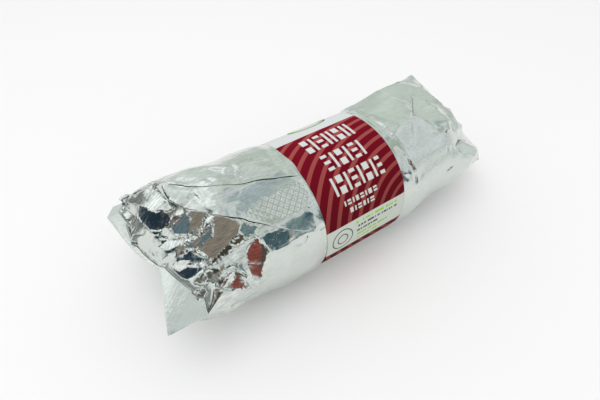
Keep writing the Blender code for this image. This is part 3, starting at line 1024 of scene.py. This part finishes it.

# %% [markdown]
# ## Where the grain and the streaks show
# The rollers that made the foil left a crossed grain, which is clear in one patch beside the band and
# faint elsewhere. The gathered end also has fine streaks along the pull, which are a painted sheen:
# lighter and darker streaks in the foil's colour that stand in for streaky reflections, where the
# crinkles are also made smoother. The material needs to know how strong each is at every point. A
# painted picture could hold that, but the net is fine enough, and a number stored on each of its points
# needs no unwrapping.

# %% Strength of the grain and of the streaks
GRAINY = [(240, 214), (250, 203), (262, 195), (300, 178), (314, 200), (316, 208), (292, 218), (262, 224)]
GRAIN_FADES = 5  # picture points
FAINT, STRONG = 0.08, 1.2  # strength of the grain elsewhere, and in its patch
# how streaked a place is sets how strong the painted sheen streaks in the foil's colour are, and how much
# its crinkles are smoothed
STREAKED_FLAP, STREAKED_PAST_LAP, STREAKED_TAIL = -0.15, 0.35, 0.05  # the more, the stronger the streaks
seen_across, seen_down = in_picture(skin)
inwards = from_line(seen_across, seen_down, GRAINY + GRAINY[:1]) * within(seen_across, seen_down, GRAINY)
pressed_in = blend(FAINT, STRONG, ease(inwards / GRAIN_FADES))
past_lap = np.where(net_x < 0, STREAKED_PAST_LAP, STREAKED_TAIL)
streaked = np.where(before_lap, blend(gathered, STREAKED_FLAP, on_flap), past_lap)
looks = np.stack([pressed_in, streaked], axis=-1)
print("points with a strong grain:", int((pressed_in > 0.5).sum()))


def give_place_and_looks(piece, along, around, values):
    give_values(piece, "along_mm", along / MM)
    give_values(piece, "around_mm", around / MM)
    give_values(piece, "pressed_in", values[..., 0])
    give_values(piece, "streaked", values[..., 1])


# %% Faces of a tube and of its pinched rim
def ring_faces(rings, sides):
    first = (np.arange(rings - 1)[:, None] * sides + np.arange(sides)[None, :]).ravel()
    after = (np.arange(rings - 1)[:, None] * sides + (np.arange(sides)[None, :] + 1) % sides).ravel()
    return np.stack([first, first + sides, after + sides, after], axis=1).tolist()


def rim_faces(start, sides, flip):
    """Faces that join the top of an end ring to its bottom, as the crimp is flat."""
    faces = [[start, start + 1, start + sides - 1]]
    for k in range(1, sides // 2 - 1):
        faces.append([start + k, start + k + 1, start + sides - k - 1, start + sides - k])
    faces.append([start + sides // 2 - 1, start + sides // 2, start + sides // 2 + 1])
    return [face[::-1] for face in faces] if flip else faces


print("faces in a ring:", len(ring_faces(2, SIDES)), "and over a rim:", len(rim_faces(0, SIDES, False)))

# %% The two halves of the foil
SHARP_FOLD = math.radians(50)
SPLIT = RINGS_NEAR + RINGS_UNDER_BAND // 2


def foil_half(name, rows):
    """One half of the foil, with its crimp's rim closed."""
    points = skin[rows]
    count = len(points)
    faces = ring_faces(count, SIDES)
    if rows.start == 0:
        faces += rim_faces(0, SIDES, False)
    else:
        faces += rim_faces((count - 1) * SIDES, SIDES, True)
    piece = new_piece(name, points, faces)
    piece.data.set_sharp_from_angle(angle=SHARP_FOLD)
    along, around = np.broadcast_arrays(map_s[rows, None], map_v[None, :])
    give_place_and_looks(piece, along, around, looks[rows])
    print(name, "has", len(faces), "faces")
    return piece


eared_half = foil_half("foil_eared_half", slice(0, SPLIT + 1))
tail_half = foil_half("foil_tail_half", slice(SPLIT, len(ring_x)))

# %% [markdown]
# ## The loose edges of the sheet
# The lap and the seam could be mere steps in the skin, but a step has no gap below it. So they are made
# as thin sheets of their own, from the edge to well under the band. They follow the crumpled skin a
# fraction of a millimetre above it, which makes the gaps and their shadows real.

# %% Read the crumpled skin anywhere
OFF_FLOOR = 0.02 * MM


def on_skin(x, turn, above):
    """Points a little above the skin. Turn may run past a full circle."""
    x, turn = np.broadcast_arrays(np.asarray(x, float), np.asarray(turn, float))
    row = np.interp(x, ring_x, np.arange(len(ring_x)))
    row_low = np.minimum(row.astype(int), len(ring_x) - 2)
    around = np.mod(turn, 2 * math.pi)
    column = np.zeros_like(row)
    for ring in np.unique(row_low):
        chosen = row_low == ring
        turns = np.append(net_turn[ring], 2 * math.pi)
        column[chosen] = np.interp(around[chosen], turns, np.arange(SIDES + 1))
    column_low = column.astype(int) % SIDES
    next_column = (column_low + 1) % SIDES
    a = (row - row_low)[..., None]
    b = (column - column.astype(int))[..., None]

    def mixed(grid):
        first = grid[row_low, column_low] * (1 - b) + grid[row_low, next_column] * b
        second = grid[row_low + 1, column_low] * (1 - b) + grid[row_low + 1, next_column] * b
        return first * (1 - a) + second * a

    points = mixed(skin) + mixed(skin_out) * np.asarray(above)[..., None]
    points[..., 2] = np.maximum(points[..., 2], OFF_FLOOR)
    return points, np.interp(x, ring_x, map_s), column / SIDES * GIRTH, mixed(looks)


on_top_at = on_skin([-40 * MM], [math.pi / 2], 0.0)[0][0]
print("the top of the skin at x -40 mm:", np.round(on_top_at / MM, 1))


# %% An open sheet, made thick
def thick_sheet(name, points, thickness):
    rows, columns = points.shape[:2]
    first = (np.arange(rows - 1)[:, None] * columns + np.arange(columns - 1)[None, :]).ravel()
    faces = np.stack([first, first + columns, first + columns + 1, first + 1], axis=1).tolist()
    piece = new_piece(name, points, faces)
    thick = piece.modifiers.new("thick", "SOLIDIFY")
    thick.thickness = thickness
    thick.offset = 1.0
    print(name, "has", len(faces), "faces")
    return piece


# %% A thin sheet from a slanting edge to the band
SHEET_THICKNESS = 0.06 * MM
SHEET_ROWS = 90
UNDER_THE_BAND = BAND_START_X + 1.5 * MM
LIES_CLOSE = [(55, 0.3), (80, 1.0), (88, 0.3), (96, 0.3), (101, 1.0)]  # share of its height at each turn
TURN_STEP = 1.15  # degrees
EDGE_WANDERS = 0.22 * MM
DENSER_AT_EDGE = 1.25  # a power above 1 draws the rows towards the free edge
CURL = (0.02 * MM, 0.12 * MM)  # least and most that the free edge lifts
CURL_REACH = 2.0 * MM
HELD_DOWN = 0.22  # share of its height that is left under the band
GRIP, GRIP_LATE = 1.6, 0.6  # how fast the band's hold grows towards it, and how late that starts


def loose_sheet(name, edge, above, seed):
    """The edge is a list of (turn in degrees, x in mm), from the hidden back to the front."""
    rng = np.random.default_rng(seed)
    turns = np.arange(edge[0][0], edge[-1][0], TURN_STEP)
    start = on_line(edge, turns) * MM
    start += np.interp(turns, turns[::3], rng.normal(0, EDGE_WANDERS, len(turns[::3])))
    share = np.linspace(0, 1, SHEET_ROWS)[:, None] ** DENSER_AT_EDGE
    x = start[None, :] + (UNDER_THE_BAND - start[None, :]) * share
    from_edge = x - start[None, :]
    curl = np.interp(turns, turns[::6], rng.uniform(*CURL, len(turns[::6])))
    height = (above + curl * (1 - clamp(from_edge / CURL_REACH)) ** 2) * on_line(LIES_CLOSE, turns)
    height = blend(height, above * HELD_DOWN, ease(beside_band(x) * GRIP - GRIP_LATE))
    points, *place_and_looks = on_skin(x, np.radians(turns)[None, :], height)
    piece = thick_sheet(name, points, SHEET_THICKNESS)
    give_place_and_looks(piece, *place_and_looks)
    return piece


lap = loose_sheet("foil_lap", LAP_EDGE, 0.30 * MM, 5)
seam = loose_sheet("foil_seam", SEAM_EDGE, 0.62 * MM, 8)

# %% [markdown]
# ## The paper band
# The band is a strip of coated paper drawn tight round the roll and glued to itself at the back. A closed
# ring would be quicker to make, but it would have no overlap. So it is one long strip that runs a little
# more than once round, and its overlap is a real step. It gets a slight wave, and its two edges are drawn
# down onto the foil, or a dark gap would show under them. Each point stores where it is on the flat
# print, in millimetres.

# %% Cut the strip and wind it round
PAPER = 0.12 * MM
STRIP_START = -64.0  # degrees, so the glued overlap is low at the back
OVERLAP = 13.0 * MM
PRINT_TOP = 76.1  # degrees, the top edge of the dark red field
STRIP_ROWS = 72
STRIP_STEP = 0.55 * MM
band_middle = (BAND_START_X + BAND_END_X) / 2
fine_turn = np.radians(np.linspace(STRIP_START, STRIP_START + 420, 1600))
fine_skin = smooth_roll(band_middle, fine_turn, BAND_GAP)
fine_length = run_up(np.linalg.norm(np.diff(fine_skin, axis=0), axis=1))
once_round = np.interp(math.radians(STRIP_START + 360), fine_turn, fine_length)
strip_length = np.arange(0, once_round + OVERLAP, STRIP_STEP)
strip_turn = np.interp(strip_length, fine_length, fine_turn)
print_top = np.interp(math.radians(PRINT_TOP), fine_turn, fine_length)
print("once round:", round(once_round / MM, 1), "mm, strip:", round(strip_length[-1] / MM, 1), "mm")

# %% Give it its step and its waves
GLUE_LINE = 6.0 * MM  # the strip starts to climb on itself this far before it is once round
CLIMB = 5.0 * MM
CLEAR_OF_ITSELF = 1.3  # times its own thickness
WAVE, WAVE_SIZE = 0.10 * MM, 14 * MM
EDGE_DOWN, EDGE_WAVE, EDGE_WAVE_SIZE = 0.14 * MM, 0.06 * MM, 9 * MM
EDGE_REACH = 3.5 * MM
PAPER_OFF_FLOOR = 0.05 * MM


def soft_noise(x, y, z, size):
    """Noise at places that are given in the same lengths as the size of its hills."""
    places = zip((x / size).ravel().tolist(), (y / size).ravel().tolist(), (z / size).ravel().tolist())
    return np.array([noise.noise(place) for place in places]).reshape(x.shape)


rows_x = np.linspace(BAND_START_X, BAND_END_X, STRIP_ROWS)
flat_x, flat_v = np.broadcast_arrays(rows_x[:, None], strip_length[None, :])
step_up = ease((flat_v - (once_round - GLUE_LINE)) / CLIMB) * PAPER * CLEAR_OF_ITSELF
waves = soft_noise(flat_x, flat_v, np.full(flat_x.shape, 0.31), WAVE_SIZE)
which_edge = np.where(flat_x < band_middle, 2.0, 9.0)  # far apart in the noise, so the edges differ
edge_waves = soft_noise(np.zeros_like(flat_x), flat_v, which_edge, EDGE_WAVE_SIZE)
from_side = np.minimum(flat_x - BAND_START_X, BAND_END_X - flat_x)
proud = BAND_GAP + step_up + WAVE * waves
proud = proud - (EDGE_DOWN - EDGE_WAVE * edge_waves) * (1 - clamp(from_side / EDGE_REACH)) ** 2
strip_points = smooth_roll(flat_x, np.broadcast_to(strip_turn, flat_x.shape), proud)
strip_points[..., 2] = np.maximum(strip_points[..., 2], PAPER_OFF_FLOOR)
band = thick_sheet("paper_strip", strip_points, PAPER)
give_values(band, "across_mm", (flat_x - BAND_START_X) / MM)
give_values(band, "down_mm", (flat_v - print_top) / MM)

# %% [markdown]
# ## Building materials from nodes
# A material is a small machine of nodes, and building it by name in code keeps every number in sight. One
# helper adds a node and plugs in its inputs, which may be numbers or other nodes' outputs. The others are
# the few kinds of node that come back all the time: sums, a mix of colours, noise, a value read off the
# mesh, and a value laid from one range onto another.

# %% Node helpers
def plug(tree, socket, value):
    if isinstance(value, bpy.types.NodeSocket):
        tree.links.new(value, socket)
    else:
        socket.default_value = value


def add(tree, kind, inputs=None, **settings):
    made = tree.nodes.new(kind)
    for name, value in settings.items():
        setattr(made, name, value)
    for key, value in (inputs or {}).items():
        plug(tree, made.inputs[key], value)
    return made


def sums(tree, operation, *values):
    return add(tree, "ShaderNodeMath", dict(enumerate(values)), operation=operation).outputs[0]


def times(tree, a, b):
    return sums(tree, "MULTIPLY", a, b)


def plus(tree, a, b):
    return sums(tree, "ADD", a, b)


def minus(tree, a, b):
    return sums(tree, "SUBTRACT", a, b)


print("node helpers:", [helper.__name__ for helper in (plug, add, sums, times, plus, minus)])

# %% Node helpers for colours, noise, stored values and ranges
def mixed_colour(tree, share, first, second):
    return add(tree, "ShaderNodeMix", {0: share, 6: first, 7: second}, data_type="RGBA").outputs[2]


def scaled_colour(tree, colour, factor):
    return add(tree, "ShaderNodeVectorMath", {0: colour, "Scale": factor}, operation="SCALE").outputs[0]


def speckle(tree, place, scale, detail, roughness=0.5, distortion=0.0):
    values = {"Vector": place, "Scale": scale, "Detail": detail, "Roughness": roughness}
    return add(tree, "ShaderNodeTexNoise", {**values, "Distortion": distortion}).outputs["Fac"]


def stored(tree, name):
    return add(tree, "ShaderNodeAttribute", attribute_name=name).outputs["Fac"]


def ranged(tree, value, low, high, to_low=0.0, to_high=1.0, kind="LINEAR"):
    """Lays low..high onto to_low..to_high and holds both ends."""
    values = {"Value": value, "From Min": low, "From Max": high, "To Min": to_low, "To Max": to_high}
    return add(tree, "ShaderNodeMapRange", values, interpolation_type=kind).outputs["Result"]


def new_material(name):
    material = bpy.data.materials.new(name)
    material.use_nodes = True
    return material, material.node_tree, material.node_tree.nodes["Principled BSDF"]


print("and:", [helper.__name__ for helper in (mixed_colour, scaled_colour, speckle, stored, ranged)])

# %% [markdown]
# ## Foil
# Kitchen foil is bright bare metal, a little hazy, with very fine crinkles that are too small for the
# mesh. Those are made with bump: a noise for the crinkles and a faint crossed grain pressed in by the
# rollers. The roughness wanders too, so that some facets are sharp mirrors and others are dull. Streaks
# that are drawn out along the roll are a painted sheen: they make the foil's colour lighter and darker,
# which stands in for streaky reflections.

# %% The crossed grain
EMBOSS_PITCH = 1.9  # mm between the crossed lines pressed in by the rollers
GRAIN_SLANT = 0.7  # cosine of their slant


def crossed_grain(tree, along, around):
    """Two sets of slanting waves, with the higher of the two kept."""
    turn_per_mm = 2 * math.pi / EMBOSS_PITCH * GRAIN_SLANT
    one_way = sums(tree, "SINE", times(tree, plus(tree, along, around), turn_per_mm))
    other_way = sums(tree, "SINE", times(tree, minus(tree, along, around), turn_per_mm))
    return sums(tree, "MAXIMUM", one_way, other_way)


print("the grain's lines are", EMBOSS_PITCH, "mm apart")

# %% Foil material
BARE_FOIL = (0.67, 0.71, 0.665, 1), (0.63, 0.67, 0.64, 1)
SHARP_MIRROR, DULL_MIRROR = 0.06, 0.16  # roughness
CRINKLE_SCALE, WANDER_SCALE, TINT_SCALE = 420.0, 60.0, 28.0  # hills of the noise to a metre
STREAK_SCALE = 1.3  # hills to a millimetre
DRAWN_OUT = 0.22  # how wide a streak is, as a share of its length
# the streaks are a painted sheen: they scale the foil's colour up and down, standing in for streaky
# reflections
PAINTED_SHEEN, STREAKED_PAINTED_SHEEN = 0.3, 1.5  # brightness that streaks change everywhere, and more where it is streaked
CRINKLE, SMOOTHED = 1.4, 0.3  # how strong the crinkles are, and what a streaked place loses of that
BUMP_DEPTH = 0.06 * MM


def foil_material():
    material, tree, shader = new_material("crinkled_foil")
    place = add(tree, "ShaderNodeTexCoord").outputs["Object"]
    along, around = stored(tree, "along_mm"), stored(tree, "around_mm")
    streaked, pressed_in = stored(tree, "streaked"), stored(tree, "pressed_in")
    crinkle = speckle(tree, place, CRINKLE_SCALE, 5.0, 0.65, 0.5)
    wander = speckle(tree, place, WANDER_SCALE, 3.0)
    tint = speckle(tree, place, TINT_SCALE, 2.0)
    colour = mixed_colour(tree, tint, *BARE_FOIL)
    drawn_out = {"X": times(tree, along, DRAWN_OUT), "Y": around}
    lines = speckle(tree, add(tree, "ShaderNodeCombineXYZ", drawn_out).outputs[0], STREAK_SCALE, 6.0, 0.7)
    # painted sheen: the streaks make the base colour lighter and darker, standing in for streaky reflections
    contrast = plus(tree, PAINTED_SHEEN, times(tree, streaked, STREAKED_PAINTED_SHEEN))
    painted_sheen = plus(tree, 1.0, times(tree, minus(tree, lines, 0.5), contrast))
    here = ranged(tree, wander, 0.30, 0.50, 0.4, 1.0)
    emboss = times(tree, crossed_grain(tree, along, around), times(tree, pressed_in, here))
    crinkled = times(tree, crinkle, minus(tree, CRINKLE, times(tree, streaked, SMOOTHED)))
    height = plus(tree, crinkled, emboss)
    bump = add(tree, "ShaderNodeBump", {"Height": height, "Distance": BUMP_DEPTH, "Strength": 1.0})
    plug(tree, shader.inputs["Base Color"], scaled_colour(tree, colour, painted_sheen))
    plug(tree, shader.inputs["Roughness"], ranged(tree, wander, 0.3, 0.7, SHARP_MIRROR, DULL_MIRROR))
    plug(tree, shader.inputs["Normal"], bump.outputs["Normal"])
    plug(tree, shader.inputs["Metallic"], 1.0)
    return material


foil_look = foil_material()
foil_pieces = [eared_half, tail_half, lap, seam]
for piece in foil_pieces:
    piece.data.materials.append(foil_look)
print("foil nodes:", len(foil_look.node_tree.nodes))

# %% [markdown]
# ## The print
# The band is printed with plain fields: a dark red one with curved lighter stripes and rows of white
# blocks, a white strip with a small badge and fine lines, then dark red again. A picture laid on the
# paper would do too, but here every shape is drawn by sums on the two stored distances, in millimetres,
# so the edges stay crisp at any size.

# %% Shapes for print
INK_EDGE = 0.12  # mm over which the ink fades, to each side of an edge


def inside(tree, value, low, high, soft=INK_EDGE):
    """1 between low and high, with an edge as soft as printed ink."""
    rise = ranged(tree, value, low - soft, low + soft, kind="SMOOTHSTEP")
    fall = ranged(tree, value, high - soft, high + soft, 1.0, 0.0, kind="SMOOTHSTEP")
    return times(tree, rise, fall)


def both(tree, *shapes):
    total = shapes[0]
    for shape in shapes[1:]:
        total = times(tree, total, shape)
    return total


def either(tree, *shapes):
    total = shapes[0]
    for shape in shapes[1:]:
        total = sums(tree, "MAXIMUM", total, shape)
    return total


print("an edge of ink fades over", INK_EDGE, "mm to each side")

# %% A row of blocks
CUT = 0.22  # of a row's height


def block_row(tree, across, down, left, top, bottom, gap, blocks):
    """Upright blocks, each a (width, parts) pair, where parts is how many pieces it is cut into."""
    height = bottom - top
    cut = CUT * height
    shapes = {1: [], 2: [], 3: []}
    for width, parts in blocks:
        shapes[parts].append(inside(tree, across, left, left + width))
        left += width + gap
    rows = []
    for parts, columns in shapes.items():
        if not columns:
            continue
        piece = (height - cut * (parts - 1)) / parts
        tops = [top + k * (piece + cut) for k in range(parts)]
        bands = [inside(tree, down, piece_top, piece_top + piece) for piece_top in tops]
        rows.append(both(tree, either(tree, *columns), either(tree, *bands)))
    return either(tree, *rows)


print("a block in three parts has parts", round((1 - 2 * CUT) / 3, 2), "of its row high")

# %% Rings and fine lines
SPECKS_PER_MM = 1.5
INKED_ABOVE = 0.44  # where the noise is higher than this, a fine line is inked
SOFT_LINE = 0.03  # softness of rings, fine lines and stripes, where these aren't counted in mm


def from_middle(tree, across, down, middle, size):
    """Distance from a middle, in half sizes, so that it is 1 all round an oval."""
    x = sums(tree, "DIVIDE", minus(tree, across, middle[0]), size[0])
    y = sums(tree, "DIVIDE", minus(tree, down, middle[1]), size[1])
    return sums(tree, "SQRT", plus(tree, times(tree, x, x), times(tree, y, y)))


def ring(tree, across, down, middle, half_size, line):
    """The outline of an oval."""
    reach = from_middle(tree, across, down, middle, half_size)
    return inside(tree, reach, 1 - line / min(half_size), 1, soft=SOFT_LINE)


def fine_line(tree, across, down, start, end, middle, height, seed):
    """A line broken up like very small print."""
    place = add(tree, "ShaderNodeCombineXYZ", {"X": across, "Y": float(seed)}).outputs[0]
    dark = inside(tree, speckle(tree, place, SPECKS_PER_MM, 1.0), INKED_ABOVE, 2.0, soft=SOFT_LINE)
    as_high = inside(tree, down, middle - height / 2, middle + height / 2)
    return both(tree, as_high, inside(tree, across, start, end), dark)


print("a fine line has about", SPECKS_PER_MM, "specks to a mm")

# %% [markdown]
# ## Printed paper
# The paper is thinly coated, so it has only a dull sheen and no mirror in it. Its layout is kept as
# tables: each row of blocks, each ring and each fine line is one entry in millimetres. So the print can
# be moved or redrawn without touching a node. All its colours are painted a little darker on the way
# down: a painted shade for the paper turning away from the light, not a change in the ink.

# %% Layout of the print, in mm
RED_DEPTH = 43.1
LOWER_WHITE = 13.2
LOWER_RED = 13.0
SKEW = 0.015  # the print climbs this much for each mm across
STRIPE_CENTRE = (44.0, 48.0)
STRIPE_SHAPE = (1.0, 0.80)
STRIPE_PITCH = 5.2
STRIPE_FROM, STRIPE_TO = 0.34, 0.70  # the share of each pitch that the stripe fills
BLOCK_ROWS = [  # left, top, bottom, gap, then (width, parts) of each block
    (8.6, 3.0, 11.0, 1.3, [(2.7, 2), (1.1, 1), (2.7, 3), (1.1, 1), (1.1, 1), (2.7, 2), (1.2, 1), (1.1, 1)]),
    (10.6, 14.1, 21.4, 1.4, [(2.7, 3), (1.1, 1), (2.7, 2), (1.1, 1), (2.7, 3), (1.1, 1)]),
    (8.4, 23.9, 31.2, 1.3, [
        (1.1, 1), (2.7, 2), (1.1, 1), (2.7, 3), (1.1, 1), (2.7, 2), (1.1, 1), (2.3, 3),
    ]),
    (10.2, 33.9, 35.9, 0.8, [
        (0.7, 1), (1.7, 2), (0.7, 1), (1.4, 1), (1.7, 2), (0.7, 1), (1.7, 1), (1.8, 2),
    ]),
    (12.0, 37.3, 39.3, 0.8, [(1.5, 1), (0.7, 1), (1.8, 2), (1.2, 1), (0.7, 1), (2.0, 2)]),
]
BADGE, UPPER_BADGE = (7.4, RED_DEPTH + 6.6), (21.0, -9.5)
DARK_RINGS = [  # middle, half size, width of the line
    (BADGE, (5.0, 5.0), 0.45), (BADGE, (2.6, 2.6), 0.45), (UPPER_BADGE, (9.5, 4.2), 0.5),
]
GREEN_RINGS = [(UPPER_BADGE, (8.3, 3.2), 0.6)]
DARK_LINES = [  # start, end, middle, height, seed
    (14.3, 36.0, RED_DEPTH + 4.0, 0.9, 3), (14.4, 25.4, RED_DEPTH + 6.3, 0.9, 7),
]
GREEN_LINES = [
    (14.0, 35.0, RED_DEPTH + 1.9, 1.1, 11), (14.7, 30.6, RED_DEPTH + 8.6, 1.1, 17),
    (14.9, 26.0, RED_DEPTH + 10.8, 1.0, 23),
]
print("blocks printed:", sum(len(row[-1]) for row in BLOCK_ROWS))

# %% Colours of the print, most of them at the top and, with painted shade, at the foot of the red field
# each pair is a colour at the top and a darker one at the foot; the darker one is painted shade
RED_WITH_PAINTED_SHADE = (0.19, 0.003, 0.014, 1), (0.095, 0.003, 0.008, 1)
STRIPE_RED_WITH_PAINTED_SHADE = (0.37, 0.080, 0.072, 1), (0.22, 0.045, 0.042, 1)
WHITE_WITH_PAINTED_SHADE = (0.66, 0.69, 0.69, 1), (0.55, 0.59, 0.53, 1)
DARK = (0.045, 0.06, 0.06, 1)
GREEN = (0.30, 0.55, 0.045, 1)
print("red at the top and at the foot:", RED_WITH_PAINTED_SHADE)


# %% Paper band material
def paper_material():
    material, tree, shader = new_material("printed_paper")
    across, down = stored(tree, "across_mm"), stored(tree, "down_mm")
    down = plus(tree, down, times(tree, across, SKEW))
    where = tree, across, down
    lower = RED_DEPTH + LOWER_WHITE
    red_fields = inside(tree, down, 0.0, RED_DEPTH), inside(tree, down, lower, lower + LOWER_RED)
    radius = from_middle(*where, STRIPE_CENTRE, STRIPE_SHAPE)
    phase = sums(tree, "FRACT", sums(tree, "DIVIDE", radius, STRIPE_PITCH))
    stripes = inside(tree, phase, STRIPE_FROM, STRIPE_TO, soft=SOFT_LINE)
    blocks = either(tree, *[block_row(*where, *row) for row in BLOCK_ROWS])
    dark_print = [ring(*where, *row) for row in DARK_RINGS]
    dark_print += [fine_line(*where, *row) for row in DARK_LINES]
    green_print = [ring(*where, *row) for row in GREEN_RINGS]
    green_print += [fine_line(*where, *row) for row in GREEN_LINES]
    # deep darkens the colours from the top to the foot of the red field, as painted shade
    deep = ranged(tree, down, 0.0, RED_DEPTH)
    white = mixed_colour(tree, deep, *WHITE_WITH_PAINTED_SHADE)
    red, stripe_red = mixed_colour(tree, deep, *RED_WITH_PAINTED_SHADE), mixed_colour(tree, deep, *STRIPE_RED_WITH_PAINTED_SHADE)
    red = mixed_colour(tree, blocks, mixed_colour(tree, stripes, red, stripe_red), white)
    paper = mixed_colour(tree, either(tree, *dark_print), white, DARK)
    paper = mixed_colour(tree, either(tree, *green_print), paper, GREEN)
    colour = mixed_colour(tree, either(tree, *red_fields), paper, red)
    plug(tree, shader.inputs["Base Color"], colour)
    plug(tree, shader.inputs["Roughness"], 0.6)
    plug(tree, shader.inputs["Specular IOR Level"], 0.03)
    return material


paper_look = paper_material()
band.data.materials.append(paper_look)
print("paper nodes:", len(paper_look.node_tree.nodes))

# %% [markdown]
# ## Say what each piece is
# Every piece rides on the one body and stands for the plain solid that it covers.

# %% Ride and replace
for piece in foil_pieces:
    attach(piece, "root")
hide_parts("foil_wrap")
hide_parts("foil_wrap")
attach(band, "root")
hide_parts("paper_band")
print("pieces:", [piece.name for piece in (*foil_pieces, band)])

# %% [markdown]
# ## Floor
# The pack lies on a plain pale table top. The floor is far larger than the pack, because the foil mirrors
# it almost as often as the ceiling, and a small floor would show its edge in every lower facet.

# %% Floor
FLOOR_HALF = 3.0
FLOOR_SINK = 0.02 * MM  # a hair under the pack, so that the two never lie in one plane
floor_square = np.array([(-1, -1, 0), (1, -1, 0), (1, 1, 0), (-1, 1, 0)]) * FLOOR_HALF
floor = new_piece("floor", floor_square - (0, 0, FLOOR_SINK), [[0, 1, 2, 3]])
floor_look, floor_tree, floor_shader = new_material("floor_pale")
plug(floor_tree, floor_shader.inputs["Base Color"], (0.90, 0.90, 0.90, 1))
plug(floor_tree, floor_shader.inputs["Roughness"], 0.9)
plug(floor_tree, floor_shader.inputs["Specular IOR Level"], 0.1)
floor.data.materials.append(floor_look)
print("floor", 2 * FLOOR_HALF, "m wide")

# %% [markdown]
# ## Sky and lamp
# A sky is a cheap way to stand a studio round the pack: it lights from all sides and the foil mirrors it.
# Matt things and the backdrop get the plain open sky, so they stay clean. Only a mirrored ray sees the
# studio with its corners, broken up by faint patches. A ray that was mirrored twice, as in the hollows
# between folds, sees a plain grey, because dark corners seen there would make the hollows murky. One
# large soft lamp above gives the pack its pale shadow.

# %% Sky
MIRRORED_TWICE = (0.42, 0.44, 0.43, 1)
OPEN_SKY = (0.92, 0.92, 0.92, 1)
DIM_PATCH, BRIGHT_PATCH = 0.78, 1.16
world = bpy.data.worlds.new("studio")
bpy.context.scene.world = world
world.use_nodes = True
sky = world.node_tree
for node in list(sky.nodes):
    sky.nodes.remove(node)
direction = add(sky, "ShaderNodeTexCoord").outputs["Generated"]
studio = PALE
for toward, start, full, colour in CORNERS.values():
    two = {0: direction, 1: Vector(toward).normalized()}
    cosine = add(sky, "ShaderNodeVectorMath", two, operation="DOT_PRODUCT").outputs["Value"]
    studio = mixed_colour(sky, ranged(sky, cosine, start, full, kind="SMOOTHSTEP"), studio, colour)
patches = speckle(sky, direction, 5.0, 5.0, 0.6)
studio = scaled_colour(sky, studio, ranged(sky, patches, 0.35, 0.65, DIM_PATCH, BRIGHT_PATCH))
path = add(sky, "ShaderNodeLightPath").outputs
twice = sums(sky, "GREATER_THAN", path["Glossy Depth"], 1.5)
studio = mixed_colour(sky, twice, studio, MIRRORED_TWICE)
backdrop = mixed_colour(sky, path["Is Glossy Ray"], OPEN_SKY, studio)
background = add(sky, "ShaderNodeBackground", {"Color": backdrop, "Strength": 1.0})
add(sky, "ShaderNodeOutputWorld", {"Surface": background.outputs[0]})
bpy.context.scene.view_settings.view_transform = "Standard"
print("sky nodes:", len(sky.nodes))

# %% Lamp
lamp_data = bpy.data.lights.new("soft_lamp", "AREA")
lamp_data.shape = "DISK"
lamp_data.size = 0.7
lamp_data.energy = 1.6
lamp = bpy.data.objects.new("soft_lamp", lamp_data)
bpy.context.scene.collection.objects.link(lamp)
lamp.location = (-0.25, -0.10, 0.85)
lamp.visible_glossy = False
lamp.rotation_euler = (Vector((0, 0, 0.02)) - lamp.location).to_track_quat("-Z", "Y").to_euler()
print("lamp", round(lamp.location.length, 2), "m away")
